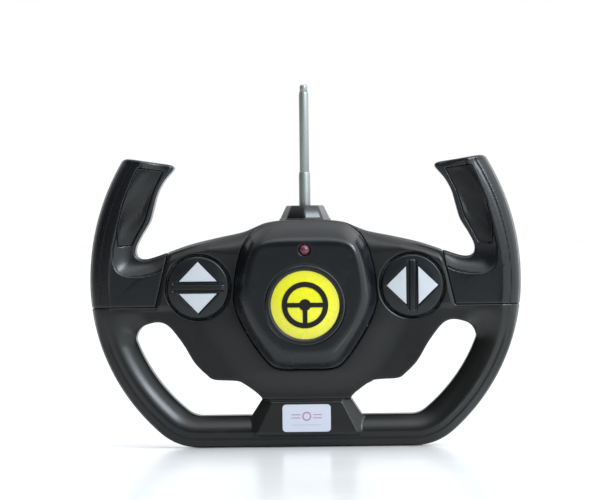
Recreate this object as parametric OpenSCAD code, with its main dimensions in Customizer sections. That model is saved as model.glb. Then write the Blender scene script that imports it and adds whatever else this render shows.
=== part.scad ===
// Hand-held radio transmitter shaped like a racing steering wheel.
// Millimetres. +Z is up along the antenna, the face looks along -Y, +X is to the right.
// The origin is at the middle of the flat foot of the wheel, on the parting plane of the two shells.

/* [Wheel] */
// Overall width of the wheel
wheel_w = 190; // [189:0.5:191]
// Height of the wheel's widest point above the foot
widest_z = 73.4; // [73:0.1:74]
// Radius of the rim's outer edge, left and right
rim_r = 89; // [88.5:0.5:89.5]
// Width of the rim, seen from the front
rim_w = 15.5; // [15:0.5:16]
// Height of the straight bar along the foot
bar_h = 14; // [13.5:0.5:14.5]
// Half the depth of the rim, front to back
rim_d = 11; // [10.8:0.1:11.2]
// Height of the seam between the lower shells and the grip covers
seam_z = 62; // [61.5:0.5:62.5]
// Wall thickness of the shells
wall = 2; // [1.8:0.1:2.2]

/* [Horns] */
// Radius of the horns' outer edge
horn_r = 103.5; // [103:0.5:104]
// Half the depth of a horn, front to back
horn_d = 12.5; // [12:0.5:12.5]
// Wall thickness of the grip covers
grip_wall = 3.2; // [3:0.1:3.4]
// Depth of the pocket that holds a grip inlay
inlay_t = 1.6; // [1.2:0.1:1.8]

/* [Hub] */
// Distance from the parting plane to the front face of the hub
hub_front = 13; // [12.8:0.1:13.2]
// Distance from the parting plane to the rear face of the hub
hub_rear = 14; // [13.8:0.1:14.2]
// Distance from the parting plane to the front face of the shield
pod_front = 22; // [21.5:0.5:22.5]
// Radius of the round badge
badge_r = 15.2; // [15:0.1:15.5]
// Height of the badge's centre
badge_z = 62.5; // [62:0.1:63]
// Height of the indicator lamp
led_z = 86.7; // [86.4:0.1:87]

/* [Label] */
// Width and height of the label plate on the foot bar
label_size = [21.2, 12];
// Height of the label plate's centre
label_z = 12.7; // [12.4:0.1:13]
// Corner radius of the label plate
label_corner = 1.6; // [1:0.1:2]

/* [Rocker pads] */
// Distance from the middle to each rocker pad
pad_x = 47.1; // [46.8:0.1:47.4]
// Height of the rocker pads
pad_z = 70.6; // [70.4:0.1:70.8]
// Radius of a rocker pad
pad_r = 13.7; // [13.5:0.1:13.8]
// Radius of the hole that a pad stands in
pad_hole_r = 14.5; // [14.4:0.1:14.6]
// Distance from the parting plane to a pad's tilting axis
pivot_y = 8; // [7.9:0.1:8.1]
// Radius of the trunnions that a pad tilts on
trunnion_r = 1.5; // [1.4:0.1:1.6]
// Running clearance, on the radius, of the trunnions
pin_fit = 0.06; // [0.04:0.01:0.08]

/* [Antenna] */
// Distance of the antenna's axis behind the parting plane
ant_y = 3; // [3:0.1:3.2]
// Height of the top of the fixed tube
ant_1_top = 121; // [119:1:123]
// Height of the top of the second tube
ant_2_top = 156.5; // [155:0.5:157]
// Height of the antenna's tip
ant_tip = 159.6; // [159:0.1:160]
// Outer radii of the three tubes and of the inner rod
ant_r = [2.5, 2.1, 1.7, 1.3];
// Sliding clearance, on the radius, between two tubes
ant_fit = 0.08; // [0.05:0.01:0.1]

/* [Battery] */
// Length, height and depth of the 9 V block without its terminals
cell = [46.4, 26.5, 17.5];
// Height of the battery's centre
cell_z = 44.55; // [44.5:0.05:44.6]
// Distance from the parting plane to the back of the battery box
box_rear = 22; // [22:0.1:22.4]

/* [Hidden] */

rim_cx = wheel_w / 2 - rim_r;
horn_cx = wheel_w / 2 - horn_r;
inner_r = rim_r - rim_w;
gap = 0.1;          // gap between neighbouring covers
far = 60;           // reaches past the whole object
thin = 0.01;

// The foot's outer and inner corners: arcs that meet the bar and the rim smoothly
corner_r = 26;
corner_x = rim_cx + sqrt(pow(rim_r - corner_r, 2) - pow(widest_z - corner_r, 2));
corner_end = atan2(corner_r - widest_z, corner_x - rim_cx);
nook_r = 10;
nook_z = bar_h + nook_r;
nook_x = rim_cx + sqrt(pow(inner_r - nook_r, 2) - pow(widest_z - nook_z, 2));
nook_end = atan2(nook_z - widest_z, nook_x - rim_cx);
rim_end_z = seam_z + 4;
end_out = asin((rim_end_z - widest_z) / rim_r);
end_in = asin((rim_end_z - widest_z) / inner_r);

// Sections as fractions of half the width (outer edge = 1) and half the depth (front = -1)
RIM_SECTION = [
    [1, -0.77], [0.5, -1], [-0.25, -0.95], [-0.7, -0.73], [-1, -0.3],
    [-1, 0.3], [-0.7, 0.73], [-0.25, 0.95], [0.5, 1], [1, 0.77]
];
HORN_SECTION = [
    [1, -0.5], [0.8, -0.86], [0.45, -1], [-0.7, -0.97], [-1, -0.6],
    [-1, 0.6], [-0.7, 0.97], [0.45, 1], [0.8, 0.86], [1, 0.5]
];

// Outlines of the right half, [x, z]
HUB_TOP = [[0, 97], [19.4, 97], [22, 96.2], [30, 93.4], [49.2, 89.9], [57.6, 87.2], [65.1, 84.6], [80, 82.6]];
HUB_FOOT = [
    [19.4, 21.5], [22, 24.1], [27.6, 28.1], [31, 29.3], [40.5, 29.8], [43.8, 32],
    [48.9, 37.3], [53.2, 44.5], [56.2, 49.6], [59.4, 53.1], [66, 55.5],
    [71.5, 53.5], [74.5, 49], [80, 44]
];
HORN_INNER = [
    [70, 58], [72.5, 74], [74.8, 87], [71.9, 93.8], [68.4, 99.6], [66.6, 105.5],
    [64.8, 112], [61.8, 117.6], [57.6, 122.4], [59.8, 124.8]
];
HORN_DEPTH = [[62, rim_d], [74, horn_d], [112, horn_d], [127, 11]];
POD_BASE = [
    [17, 99], [21.2, 96], [26.5, 91], [29.6, 82], [31.2, 70],
    [30.9, 62], [26.1, 51], [17.6, 38.5], [11.6, 34]
];
POD_FACE = [
    [21, 89.1], [22, 88.6], [24, 84.5], [26, 75], [26.8, 68],
    [26.3, 61], [22, 51.5], [14.8, 41.5], [10, 38]
];
INLAY = [
    [82.5, 90], [82.6, 97], [79.8, 108], [75.4, 117.5], [72.4, 121.8],
    [63.6, 120], [67, 114], [68.8, 106], [70.8, 100], [74.6, 95]
];
COVER_REGION = [[66, seam_z], [60.4, 86], [50, 100], [50, 140], [110, 140], [110, seam_z]];
HUB_X = [0, 19.4, 22, 30, 40.5, 44.2, 49.3, 53.7, 57.5, 61, 66, 71.5, 74.5, 80];

// Screws of the two shells: [x, z, rear face]; both sides have each
CASE_SCREWS = [
    [84, 50, rim_d], [35, 7, rim_d], [13, 22, hub_rear], [36, 86, hub_rear - 0.4]
];
COVER_SCREW = [84, 66, rim_d];
head_r = 2.6;
head_h = 1.6;
sink = 2.5;         // how far a screw head's seat lies below the surface
shank_r = 1.3;

// Rocker pads, measured forward from the parting plane
pad_back = 11;
pad_edge = 13.6;
pad_crown = 15.2;
arrow_seat = 13.9;
arrow_rise = 0.25;
arrow_half = 8.3;    // half the base of an arrow
arrow_low = 2.7;     // from the pad's middle to the base
arrow_tip = 11.3;
LUG_ANGLES = [240, 300];
lug_r = 16.8;
label_seat = hub_front - 0.2;
board_front = 2;    // front face of the circuit board, ahead of the parting plane
board_rear = 0.4;
BOARD_SCREWS = [[-22, 66], [22, 66], [-18, 80], [18, 80]];

// Battery box
tray_x = 25.2;
tray_z = [cell_z - 13.35, cell_z + 13.35];
tray_floor = 1.4;
door_x = 27;
door_t = 2;
door_low = 30.2;
door_top = 62.6;
door_screw_z = 60.4;
box_x = 29.2;
box_z = [28.2, 64.4];

switch_x = -22;
switch_z = 76;
slot_w = 10.7;
slot_h = 4.5;

function arc_point(cx, cz, r, a) = [cx + r * cos(a), cz + r * sin(a)];
function lug(a) = arc_point(pad_x, pad_z, lug_r, a);
function mirrored(points) = concat(
    points, [for (i = [len(points) - 1:-1:0]) [-points[i].x, points[i].y]]
);

// [outer edge, inner edge] of the rim, from the middle of the foot up past the seam
RIM_STATIONS = concat(
    [for (t = [0:0.5:1]) [[corner_x * t, 0], [nook_x * t, bar_h]]],
    [for (t = [0.25:0.25:1]) [
        arc_point(corner_x, corner_r, corner_r, -90 + t * (corner_end + 90)),
        arc_point(nook_x, nook_z, nook_r, -90 + t * (nook_end + 90))
    ]],
    [for (t = [0.125:0.125:1]) [
        arc_point(rim_cx, widest_z, rim_r, corner_end + t * (end_out - corner_end)),
        arc_point(rim_cx, widest_z, inner_r, nook_end + t * (end_in - nook_end))
    ]]
);
horn_low = asin((HORN_INNER[0].y - widest_z) / horn_r);
horn_high = 31.6;
HORN_STATIONS = [for (i = [0:len(HORN_INNER) - 1]) [
    arc_point(horn_cx, widest_z, horn_r, horn_low + i / (len(HORN_INNER) - 1) * (horn_high - horn_low)),
    HORN_INNER[i]
]];

// One ring of points across a limb whose edges are at st[0] and st[1]
function limb_ring(st, section, depth, inset) =
    let (mid = (st[0] + st[1]) / 2, half = norm(st[0] - st[1]) / 2, dir = (st[0] - st[1]) / (2 * half))
    [for (p = section) [
        mid.x + dir.x * p.x * (half - inset),
        p.y * (depth - inset),
        mid.y + dir.y * p.x * (half - inset)
    ]];

// One ring across the hub, in the plane at x
function hub_ring(x, foot, inset) =
    let (
        lo = foot + inset, hi = lookup(x, HUB_TOP) - inset,
        f = hub_front - inset, r = lookup(x, [[45, hub_rear], [80, rim_d]]) - inset,
        roll = lookup(x, [[30, 10], [42, 4.5], [80, 3.5]])
    ) [
        [x, -f + 4, lo], [x, -f + 1, lo + 1.5], [x, -f, lo + 4], [x, -f, hi - roll],
        [x, -f + 1.8, hi - roll * 0.3], [x, -f + 4.5, hi],
        [x, r - 5, hi], [x, r - 1.5, hi - 2], [x, r, hi - 5],
        [x, r, lo + 5], [x, r - 1.5, lo + 1.5], [x, r - 5, lo]
    ];

// Solid through a list of rings, which all have the same number of points
module loft(rings) {
    n = len(rings[0]);
    last = len(rings) - 1;
    polyhedron(
        points = [for (ring = rings) each ring],
        faces = concat(
            [[for (k = [n - 1:-1:0]) k], [for (k = [0:n - 1]) last * n + k]],
            [for (i = [0:last - 1], k = [0:n - 1])
                let (a = i * n + k, b = i * n + (k + 1) % n)
                each [[a, b, b + n], [a, b + n, a + n]]]
        )
    );
}

module both_sides() {
    children();
    mirror([1, 0, 0]) children();
}

// Local z points to the front and local y up; the local origin is on the parting plane
module facing(x, z) {
    translate([x, 0, z]) rotate([90, 0, 0]) children();
}

// Prism of an [x, z] outline between two distances ahead of the parting plane
module slab(outline, from, to) {
    facing(0, 0) translate([0, 0, from]) linear_extrude(to - from) polygon(outline);
}

// The same prism behind the parting plane
module slab_behind(outline, from, to) {
    slab(outline, -to, -from);
}

module pin_behind(x, z, r, from, to) {
    facing(x, z) translate([0, 0, -to]) cylinder(r = r, h = to - from, $fn = 24);
}

module half_space(side) {
    translate([-150, side < 0 ? -far : 0, -10]) cube([300, far, 200]);
}

// ---- The wheel's outer form, or its cavity when inset is the wall ----

module wheel_form(inset) {
    both_sides() {
        loft([for (st = RIM_STATIONS) limb_ring(st, RIM_SECTION, rim_d, inset)]);
        loft([for (x = HUB_X) hub_ring(x, x < 20 ? 10 : lookup(x, HUB_FOOT), inset)]);
    }
}

module horn_form(inset, last) {
    loft([for (i = [0:last]) limb_ring(
        HORN_STATIONS[i], HORN_SECTION, lookup(HORN_STATIONS[i][1].y, HORN_DEPTH), inset
    )]);
}

module cover_region(side, spare) {
    slab([for (p = COVER_REGION) [side * (p.x + spare), p.y + spare]], -far, far);
}

module label_bar() {
    hull() {
        slab(mirrored([[19.2, 21.5], [26.5, 10], [24.6, 4.4]]), 6, 7);
        slab(mirrored([[15.5, 19.6], [22.4, 6]]), hub_front - 1, hub_front + 0.4);
    }
}

// Posts for the case screws, wider at the wall than at the parting plane
module shell_posts(r, side) {
    both_sides()
        for (s = CASE_SCREWS)
            hull() {
                facing(s.x, s.y) cylinder(r = r, h = 1, center = true, $fn = 24);
                facing(s.x, s.y) translate([0, 0, side * 16]) cylinder(r = r + 0.8, h = 1, $fn = 24);
            }
}

// Block on the rear shell that a grip cover slides over and is screwed to
module tongue(spare) {
    translate([82 - spare, -4.5 - spare, seam_z - 6])
        cube([6.4 + 2 * spare, 9.5 + 2 * spare, 14 + spare]);
}

module box_form() {
    hull() {
        slab_behind(mirrored([[box_x, box_z[0]], [box_x, box_z[1]]]), 10, box_rear - 1.5);
        slab_behind(
            mirrored([[box_x - 1.5, box_z[0] + 1.5], [box_x - 1.5, box_z[1] - 1.5]]),
            10, box_rear
        );
    }
}

module front_shell() {
    color([0.13, 0.14, 0.15])
        difference() {
            union() {
                difference() {
                    union() {
                        wheel_form(0);
                        label_bar();
                    }
                    wheel_form(wall);
                }
                intersection() {
                    wheel_form(wall / 2);
                    union() {
                        shell_posts(2.8, 1);
                        both_sides()
                            for (a = LUG_ANGLES)
                                pin_behind(lug(a).x, lug(a).y, 2.2, -12, -5.4);
                    }
                }
            }
            half_space(1);
            cover_region(1, 0);
            cover_region(-1, 0);
            // window for the shield
            slab(mirrored([for (p = POD_BASE) p + [0.15, p.y > 60 ? 0.15 : -0.15]]), 5, far);
            facing(0, label_z) translate([0, 0, label_seat]) linear_extrude(far) label_outline(0.2);
            both_sides() {
                facing(pad_x, pad_z) translate([0, 0, 9]) cylinder(r = pad_hole_r, h = far, $fn = 64);
                for (a = LUG_ANGLES)
                    pin_behind(lug(a).x, lug(a).y, 1.15, -10.2, 0);
                for (s = CASE_SCREWS)
                    pin_behind(s.x, s.y, 1.45, -8, 1);
            }
        }
}

module rear_shell() {
    color([0.13, 0.14, 0.15])
        difference() {
            union() {
                difference() {
                    union() {
                        wheel_form(0);
                        box_form();
                    }
                    wheel_form(wall);
                    slab_behind(
                        mirrored([[box_x - wall, box_z[0] + wall], [box_x - wall, box_z[1] - wall]]),
                        -1, box_rear - wall
                    );
                }
                // battery tray and the boss of its door screw
                slab_behind(
                    mirrored([[tray_x + 1.2, tray_z[0] - 1.2], [tray_x + 1.2, tray_z[1] + 1.2]]),
                    0.2, box_rear - wall
                );
                pin_behind(0, door_screw_z, 2.2, 8, box_rear - wall);
                intersection() {
                    wheel_form(wall / 2);
                    shell_posts(3.2, -1);
                }
                both_sides() {
                    tongue(0);
                    translate([77.5, 0, seam_z - 8]) cube([10.9, 5, 8]);
                }
            }
            difference() {
                union() {
                    half_space(-1);
                    cover_region(1, 0);
                    cover_region(-1, 0);
                }
                both_sides() tongue(0);
            }
            // inside of the tray, and the door's opening
            slab_behind(mirrored([[tray_x, tray_z[0]], [tray_x, tray_z[1]]]), tray_floor, far);
            slab_behind(
                mirrored([[door_x + 0.3, door_low - 0.3], [door_x + 0.3, door_top + 0.3]]),
                box_rear - door_t - 0.1, far
            );
            // notch for the battery leads
            translate([tray_x - 5, 5, tray_z[1] - 1]) cube([4.5, 8, 4]);
            translate([0, box_rear - 1, door_low + 1])
                rotate([0, 90, 0]) cylinder(r = 0.95, h = 2 * door_x + 2.6, center = true, $fn = 24);
            pin_behind(0, door_screw_z, 1.3, 10, far);
            translate([0, ant_y, seam_z]) cylinder(r = ant_r[0] + 0.2, h = far, $fn = 48);
            // slot of the power switch
            translate([switch_x - slot_w / 2, 9, switch_z - slot_h / 2]) cube([slot_w, 9, slot_h]);
            both_sides() {
                for (s = CASE_SCREWS) {
                    pin_behind(s.x, s.y, shank_r + 0.25, -1, far);
                    pin_behind(s.x, s.y, head_r + 0.4, s[2] - sink, far);
                }
                pin_behind(COVER_SCREW.x, COVER_SCREW.y, shank_r + 0.15, -3, far);
            }
        }
}

module grip_cover(side) {
    color([0.11, 0.12, 0.13])
        intersection() {
            difference() {
                union() {
                    wheel_form(0);
                    if (side > 0) horn_form(0, 9);
                    else mirror([1, 0, 0]) horn_form(0, 9);
                }
                wheel_form(grip_wall);
                mirror([side > 0 ? 0 : 1, 0, 0]) {
                    horn_form(grip_wall, 8);
                    slab(INLAY, horn_d - inlay_t, far);
                    pin_behind(COVER_SCREW.x, COVER_SCREW.y, shank_r + 0.25, -1, far);
                    pin_behind(COVER_SCREW.x, COVER_SCREW.y, head_r + 0.4, COVER_SCREW[2] - sink, far);
                    tongue(0.2);
                }
            }
            cover_region(side, gap);
        }
}

module left_grip_cover() { grip_cover(-1); }
module right_grip_cover() { grip_cover(1); }

module grip_inlay() {
    mid = [73.4, 107];
    slab([for (p = INLAY) p + (mid - p) / norm(mid - p) * 0.25], horn_d - inlay_t + 0.02, horn_d + 0.1);
}

module left_grip_inlay() { color([0.07, 0.07, 0.08]) mirror([1, 0, 0]) grip_inlay(); }
module right_grip_inlay() { color([0.07, 0.07, 0.08]) grip_inlay(); }

// ---- Shield, badge and lamp ----

module pod_form(inset) {
    function shrunk(outline) = [for (p = outline) [p.x - inset, p.y + (p.y > 60 ? -inset : inset)]];
    hull() {
        slab(mirrored(shrunk(POD_BASE)), 9.4 - (inset > 0 ? 1 : 0), 13.5);
        slab(mirrored(shrunk(POD_FACE)), pod_front - inset - thin, pod_front - inset);
    }
}

module pod_cover() {
    color([0.10, 0.11, 0.12]) {
        difference() {
            pod_form(0);
            pod_form(wall);
            facing(0, badge_z) translate([0, 0, pod_front - 1.5]) cylinder(r = badge_r + 2.4, h = 5, $fn = 72);
            facing(0, led_z) {
                translate([0, 0, 12]) cylinder(r = 2.6, h = 15, $fn = 48);
                translate([0, 0, 12]) cylinder(r = 3, h = 7.7, $fn = 48);
            }
        }
        // posts that carry the circuit board
        for (p = BOARD_SCREWS)
            facing(p.x, p.y)
                difference() {
                    translate([0, 0, board_front]) cylinder(r = 2.4, h = pod_front - wall - board_front + 0.5, $fn = 32);
                    translate([0, 0, 1]) cylinder(r = 1.15, h = 7, $fn = 24);
                }
        // snap tabs behind the front shell's wall
        for (side = [-1, 1])
            translate([side * 30.6 - 1.9, -10.8, 64]) cube([3.8, 1.3, 10]);
    }
}

module badge_bezel() {
    color([0.06, 0.06, 0.07])
        facing(0, badge_z) translate([0, 0, pod_front - 1.5])
            rotate_extrude($fn = 96)
                polygon([
                    [badge_r + 0.1, 0], [badge_r + 2.35, 0], [badge_r + 2.35, 1.6],
                    [badge_r + 1.8, 2.1], [badge_r + 0.8, 2.1], [badge_r + 0.1, 1.5]
                ]);
}

module badge_disc() {
    color([0.92, 0.88, 0.15])
        facing(0, badge_z) translate([0, 0, pod_front - 1.5]) cylinder(r = badge_r, h = 1.3, $fn = 96);
}

// A plain steering-wheel sign: a ring with three spokes
module badge_emblem() {
    color([0.03, 0.03, 0.03])
        facing(0, badge_z) translate([0, 0, pod_front - 0.2])
            linear_extrude(0.25)
                union() {
                    difference() {
                        circle(r = 10.2, $fn = 72);
                        circle(r = 7.9, $fn = 72);
                    }
                    circle(r = 2.6, $fn = 36);
                    for (a = [0, 180, 270])
                        rotate(a) translate([2, -1]) square([7, 2]);
                }
}

module status_led() {
    color([0.55, 0.06, 0.10]) {
        facing(0, led_z) {
            translate([0, 0, 18.6]) cylinder(r = 2.9, h = 1, $fn = 48);
            translate([0, 0, 19.5]) cylinder(r = 2.5, h = 1.6, $fn = 48);
            intersection() {
                translate([0, 0, 20.5]) sphere(r = 2.5, $fn = 48);
                translate([0, 0, 21]) cylinder(r = 2.5, h = 3, $fn = 48);
            }
        }
        for (x = [-1.27, 1.27])
            translate([x - 0.25, -18.7, led_z - 0.25]) cube([0.5, 18.7 - board_front, 0.5]);
    }
}

module label_outline(spare) {
    r = label_corner;
    x = label_size.x / 2 + spare - r;
    y = label_size.y / 2 + spare - r;
    square([2 * (x + r), 2 * y], center = true);
    square([2 * x, 2 * (y + r)], center = true);
    for (i = [-1, 1], k = [-1, 1])
        translate([i * x, k * y]) circle(r = r, $fn = 24);
}

module label_plate() {
    color([0.93, 0.91, 0.95])
        facing(0, label_z) translate([0, 0, label_seat + 0.02])
            linear_extrude(0.8) label_outline(0);
}

// ---- Rocker pads: local z forward, the tilting axis along local x ----

module pad_crown(rise) {
    rotate_extrude($fn = 96)
        polygon([
            [0, pad_back], [pad_r, pad_back], [pad_r, pad_edge + rise], [pad_r - 0.5, pad_edge + 0.5 + rise],
            [10, 14.7 + rise], [5, 15.08 + rise], [0, pad_crown + rise]
        ]);
}

module arrow_prism(spare) {
    translate([0, 0, arrow_seat - (spare > 0 ? 0.02 : 0)])
        linear_extrude(4)
            polygon([
                [-arrow_half - 2 * spare, arrow_low - spare], [arrow_half + 2 * spare, arrow_low - spare],
                [0, arrow_tip + 1.4 * spare]
            ]);
}

module rocker_pad() {
    difference() {
        union() {
            pad_crown(0);
            translate([0, 0, 6.8]) cylinder(r = 9.4, h = 4.5, $fn = 64);
            translate([0, 0, pivot_y]) rotate([0, 90, 0])
                cylinder(r = trunnion_r, h = 27.2, center = true, $fn = 48);
            for (side = [-1, 1])
                translate([0, side * 8.5, 5.9]) cylinder(r = 2, h = 5.3, $fn = 32);
        }
        for (turn = [0, 180])
            rotate(turn) arrow_prism(0.1);
    }
}

module pad_arrow(turn) {
    intersection() {
        pad_crown(arrow_rise);
        rotate(turn) arrow_prism(0);
    }
}

module rocker_frame() {
    difference() {
        union() {
            translate([0, 0, 4.4]) cylinder(r = 15.2, h = 1, $fn = 96);
            for (side = [-1, 1]) {
                translate([side * 11.9 - 1.3, -2.6, 4.6]) cube([2.6, 5.2, 5.8]);
            }
            children();
        }
        translate([0, 0, pivot_y]) rotate([0, 90, 0])
            cylinder(r = trunnion_r + pin_fit, h = 40, center = true, $fn = 48);
        for (side = [-1, 1])
            translate([0, side * 8.5, 4]) cylinder(r = 3.7, h = 2, $fn = 48);
    }
}

module frame_lugs() {
    for (a = LUG_ANGLES)
        rotate(a)
            difference() {
                hull() {
                    translate([lug_r, 0, 4.4]) cylinder(r = 2.6, h = 1, $fn = 32);
                    translate([lug_r - 4, 0, 4.4]) cylinder(r = 2.6, h = 1, $fn = 32);
                }
                translate([lug_r, 0, 4]) cylinder(r = 1.2, h = 2, $fn = 32);
            }
}

module keypad() {
    translate([-7, -12.5, board_front]) cube([14, 25, 0.8]);
    for (side = [-1, 1])
        translate([0, side * 8.5, board_front + 0.7])
            rotate_extrude($fn = 48)
                polygon([[0, 0], [3.1, 0], [2.4, 1.4], [1.6, 2.2], [0, 2.2]]);
}

module left_rocker() { color([0.09, 0.10, 0.11]) facing(-pad_x, pad_z) rocker_pad(); }
module forward_arrow() { color([0.84, 0.86, 0.90]) facing(-pad_x, pad_z) pad_arrow(0); }
module reverse_arrow() { color([0.84, 0.86, 0.90]) facing(-pad_x, pad_z) pad_arrow(180); }
module left_rocker_frame() {
    color([0.30, 0.31, 0.33]) facing(-pad_x, pad_z) rocker_frame() frame_lugs();
}
module left_keypad() { color([0.45, 0.45, 0.47]) facing(-pad_x, pad_z) keypad(); }

module right_rocker() { color([0.09, 0.10, 0.11]) facing(pad_x, pad_z) rotate(90) rocker_pad(); }
module left_arrow() { color([0.84, 0.86, 0.90]) facing(pad_x, pad_z) rotate(90) pad_arrow(0); }
module right_arrow() { color([0.84, 0.86, 0.90]) facing(pad_x, pad_z) rotate(90) pad_arrow(180); }
module right_rocker_frame() {
    color([0.30, 0.31, 0.33]) facing(pad_x, pad_z) rotate(90) rocker_frame() rotate(-90) frame_lugs();
}
module right_keypad() { color([0.45, 0.45, 0.47]) facing(pad_x, pad_z) rotate(90) keypad(); }

// ---- Electronics ----

module main_board() {
    color([0.12, 0.35, 0.20])
        difference() {
            slab(
                mirrored([[8, 90], [8, 83], [56, 83], [60.5, 78], [60.5, 60], [57, 57]]),
                board_rear, board_front
            );
            for (p = BOARD_SCREWS)
                facing(p.x, p.y) cylinder(r = 1.3, h = 5, $fn = 24);
        }
}

// A part on the back of the board: local z points away from the board
module on_board(x, z) {
    translate([x, -board_rear, z]) rotate([-90, 0, 0]) children();
}

module encoder_chip() {
    color([0.10, 0.10, 0.11])
        on_board(-38, 69) {
            translate([-9.6, -3.2, 0.5]) cube([19.2, 6.4, 3.3]);
            for (i = [0:7], side = [-1, 1])
                translate([-8.89 + 2.54 * i - 0.25, side * 3.5 - 0.35, 0]) cube([0.5, 0.7, 2.2]);
        }
}

module crystal() {
    color([0.78, 0.79, 0.80])
        on_board(14, 70)
            hull()
                for (side = [-1, 1])
                    translate([side * 3.2, 0, 0]) cylinder(r = 2.3, h = 13 - 4, $fn = 32);
}

module rf_coils() {
    color([0.80, 0.80, 0.78])
        for (x = [31, 41])
            on_board(x, 68) {
                translate([-3.5, -3.5, 0]) cube([7, 7, 8.5]);
                translate([0, 0, 8.4]) cylinder(r = 2, h = 0.5, $fn = 32);
            }
}

module capacitors() {
    color([0.16, 0.22, 0.45])
        for (c = [[-14, 66, 3.1, 9], [-52, 76, 2.5, 7], [45, 76, 2.5, 7], [50, 64, 2, 6]])
            on_board(c.x, c.y) cylinder(r = c[2], h = c[3], $fn = 40);
}

module transistors() {
    color([0.08, 0.08, 0.09])
        for (x = [3, -5])
            on_board(x, 64)
                translate([0, 0, 0.8])
                    difference() {
                        cylinder(r = 2.3, h = 4.6, $fn = 40);
                        translate([-3, 1.2, -1]) cube([6, 3, 7]);
                    }
}

module resistors() {
    color([0.80, 0.66, 0.44])
        for (i = [0:3], side = [-1, 1])
            on_board(side * (47 + 3.6 * i), side > 0 ? 70 : 62)
                translate([0, 0, 1.3]) rotate([90, 0, 0]) cylinder(r = 1.1, h = 6, center = true, $fn = 24);
}

module board_screws() {
    color([0.72, 0.72, 0.74])
        for (p = BOARD_SCREWS)
            facing(p.x, p.y) {
                translate([0, 0, board_rear - 1.4]) cylinder(r = 2.1, h = 1.4, $fn = 32);
                translate([0, 0, board_rear - 0.5]) cylinder(r = 1, h = 6, $fn = 24);
            }
}

module power_switch() {
    color([0.75, 0.76, 0.78])
        difference() {
            union() {
                translate([switch_x - 6, 6, switch_z - 3.2]) cube([12, 5, 6.4]);
                translate([switch_x - 10, 10.2, switch_z - 3.2]) cube([20, 0.8, 6.4]);
            }
            translate([switch_x - 4.6, 7.5, switch_z - 2]) cube([9.2, 5, 4]);
            for (side = [-1, 1])
                pin_behind(switch_x + side * 8, switch_z, 1.1, 9, 13);
        }
}

module switch_knob() {
    color([0.10, 0.10, 0.11]) {
        translate([switch_x - 4.4, 7.8, switch_z - 1.8]) cube([4.8, 6, 3.6]);
        for (i = [0:3])
            translate([switch_x - 4.4 + 1.2 * i, 13.8, switch_z - 1.8]) cube([0.8, 1.8, 3.6]);
        translate([switch_x - 4.4, 13.7, switch_z - 1.8]) cube([4.8, 1.2, 3.6]);
    }
}

// Round lead through a list of points
module lead(points, r) {
    for (i = [0:len(points) - 2])
        hull()
            for (p = [points[i], points[i + 1]])
                translate(p) sphere(r = r, $fn = 8);
}

module switch_leads() {
    color([0.75, 0.75, 0.72])
        for (side = [-1, 1])
            translate([switch_x + side * 3 - 0.4, -board_rear, switch_z - 0.4])
                cube([0.8, 6 + board_rear, 0.8]);
}

module battery() {
    color([0.20, 0.22, 0.26]) {
        translate([-24.9, tray_floor + 0.1, cell_z - cell[1] / 2]) cube([cell[0], cell[2], cell[1]]);
        for (side = [-1, 1])
            translate([-24.9 + cell[0] - 0.1, tray_floor + 0.1 + cell[2] / 2, cell_z + side * 6.35])
                rotate([0, 90, 0]) cylinder(r = 2.9, h = 1.6, $fn = 32);
    }
}

module battery_snap() {
    color([0.08, 0.08, 0.09])
        difference() {
            translate([-24.9 + cell[0] + 0.3, 3, cell_z - 12]) cube([3.1, 14, 24]);
            for (side = [-1, 1])
                translate([-24.9 + cell[0] - 1, tray_floor + 0.1 + cell[2] / 2, cell_z + side * 6.35])
                    rotate([0, 90, 0]) cylinder(r = 3, h = 2.7, $fn = 32);
        }
}

RED_ROUTE = [
    [23.4, 11.5, 57.2], [23.3, 11.2, 59], [22.8, 10, 60.6], [21.6, 7, 61.4],
    [20, 4, 61.6], [18.6, 1.8, 61.4], [18, 0.2, 61.2]
];
BLACK_ROUTE = [
    [23.4, 8, 57.2], [23.4, 7.8, 59], [23.6, 6.6, 60.2], [24.2, 4.4, 60.8],
    [24.8, 2.2, 61], [25.2, 1, 61], [25.4, 0.2, 61]
];

module red_lead() { color([0.70, 0.08, 0.08]) lead(RED_ROUTE, 0.55); }
module black_lead() { color([0.05, 0.05, 0.05]) lead(BLACK_ROUTE, 0.55); }

module battery_pad() {
    color([0.25, 0.25, 0.27])
        translate([-15, tray_floor + 0.15 + cell[2], cell_z - 8])
            cube([30, box_rear - door_t - tray_floor - cell[2] - 0.2, 16]);
}

module battery_door() {
    color([0.12, 0.13, 0.14])
        difference() {
            union() {
                slab_behind(
                    mirrored([[door_x, door_low + 1], [door_x, door_top]]), box_rear - door_t, box_rear
                );
                translate([0, box_rear - 1, door_low + 1]) rotate([0, 90, 0])
                    cylinder(r = 1, h = 2 * door_x, center = true, $fn = 48);
                translate([0, box_rear - 1, door_low + 1]) rotate([0, 90, 0])
                    cylinder(r = 0.8, h = 2 * door_x + 2, center = true, $fn = 48);
            }
            pin_behind(0, door_screw_z, 1.5, 0, far);
            pin_behind(0, door_screw_z, 2.7, box_rear - 1.2, far);
        }
}

module door_screw() {
    color([0.72, 0.72, 0.74]) {
        pin_behind(0, door_screw_z, 2.4, box_rear - 1.2, box_rear - 0.1);
        pin_behind(0, door_screw_z, 1.2, box_rear - 1.3 - 1.2, box_rear - 1);
    }
}

// ---- Antenna ----

module tube(i, low, high) {
    translate([0, ant_y, low])
        difference() {
            cylinder(r = ant_r[i], h = high - low, $fn = 48);
            translate([0, 0, 1]) cylinder(r = ant_r[i + 1] + ant_fit, h = high - low, $fn = 48);
        }
}

module antenna_bracket() {
    color([0.78, 0.70, 0.45])
        difference() {
            translate([-4.5, -board_rear, 78]) cube([9, 7.4, 7]);
            translate([0, ant_y, 80]) cylinder(r = ant_r[0] + 0.02, h = 10, $fn = 48);
        }
}

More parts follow.
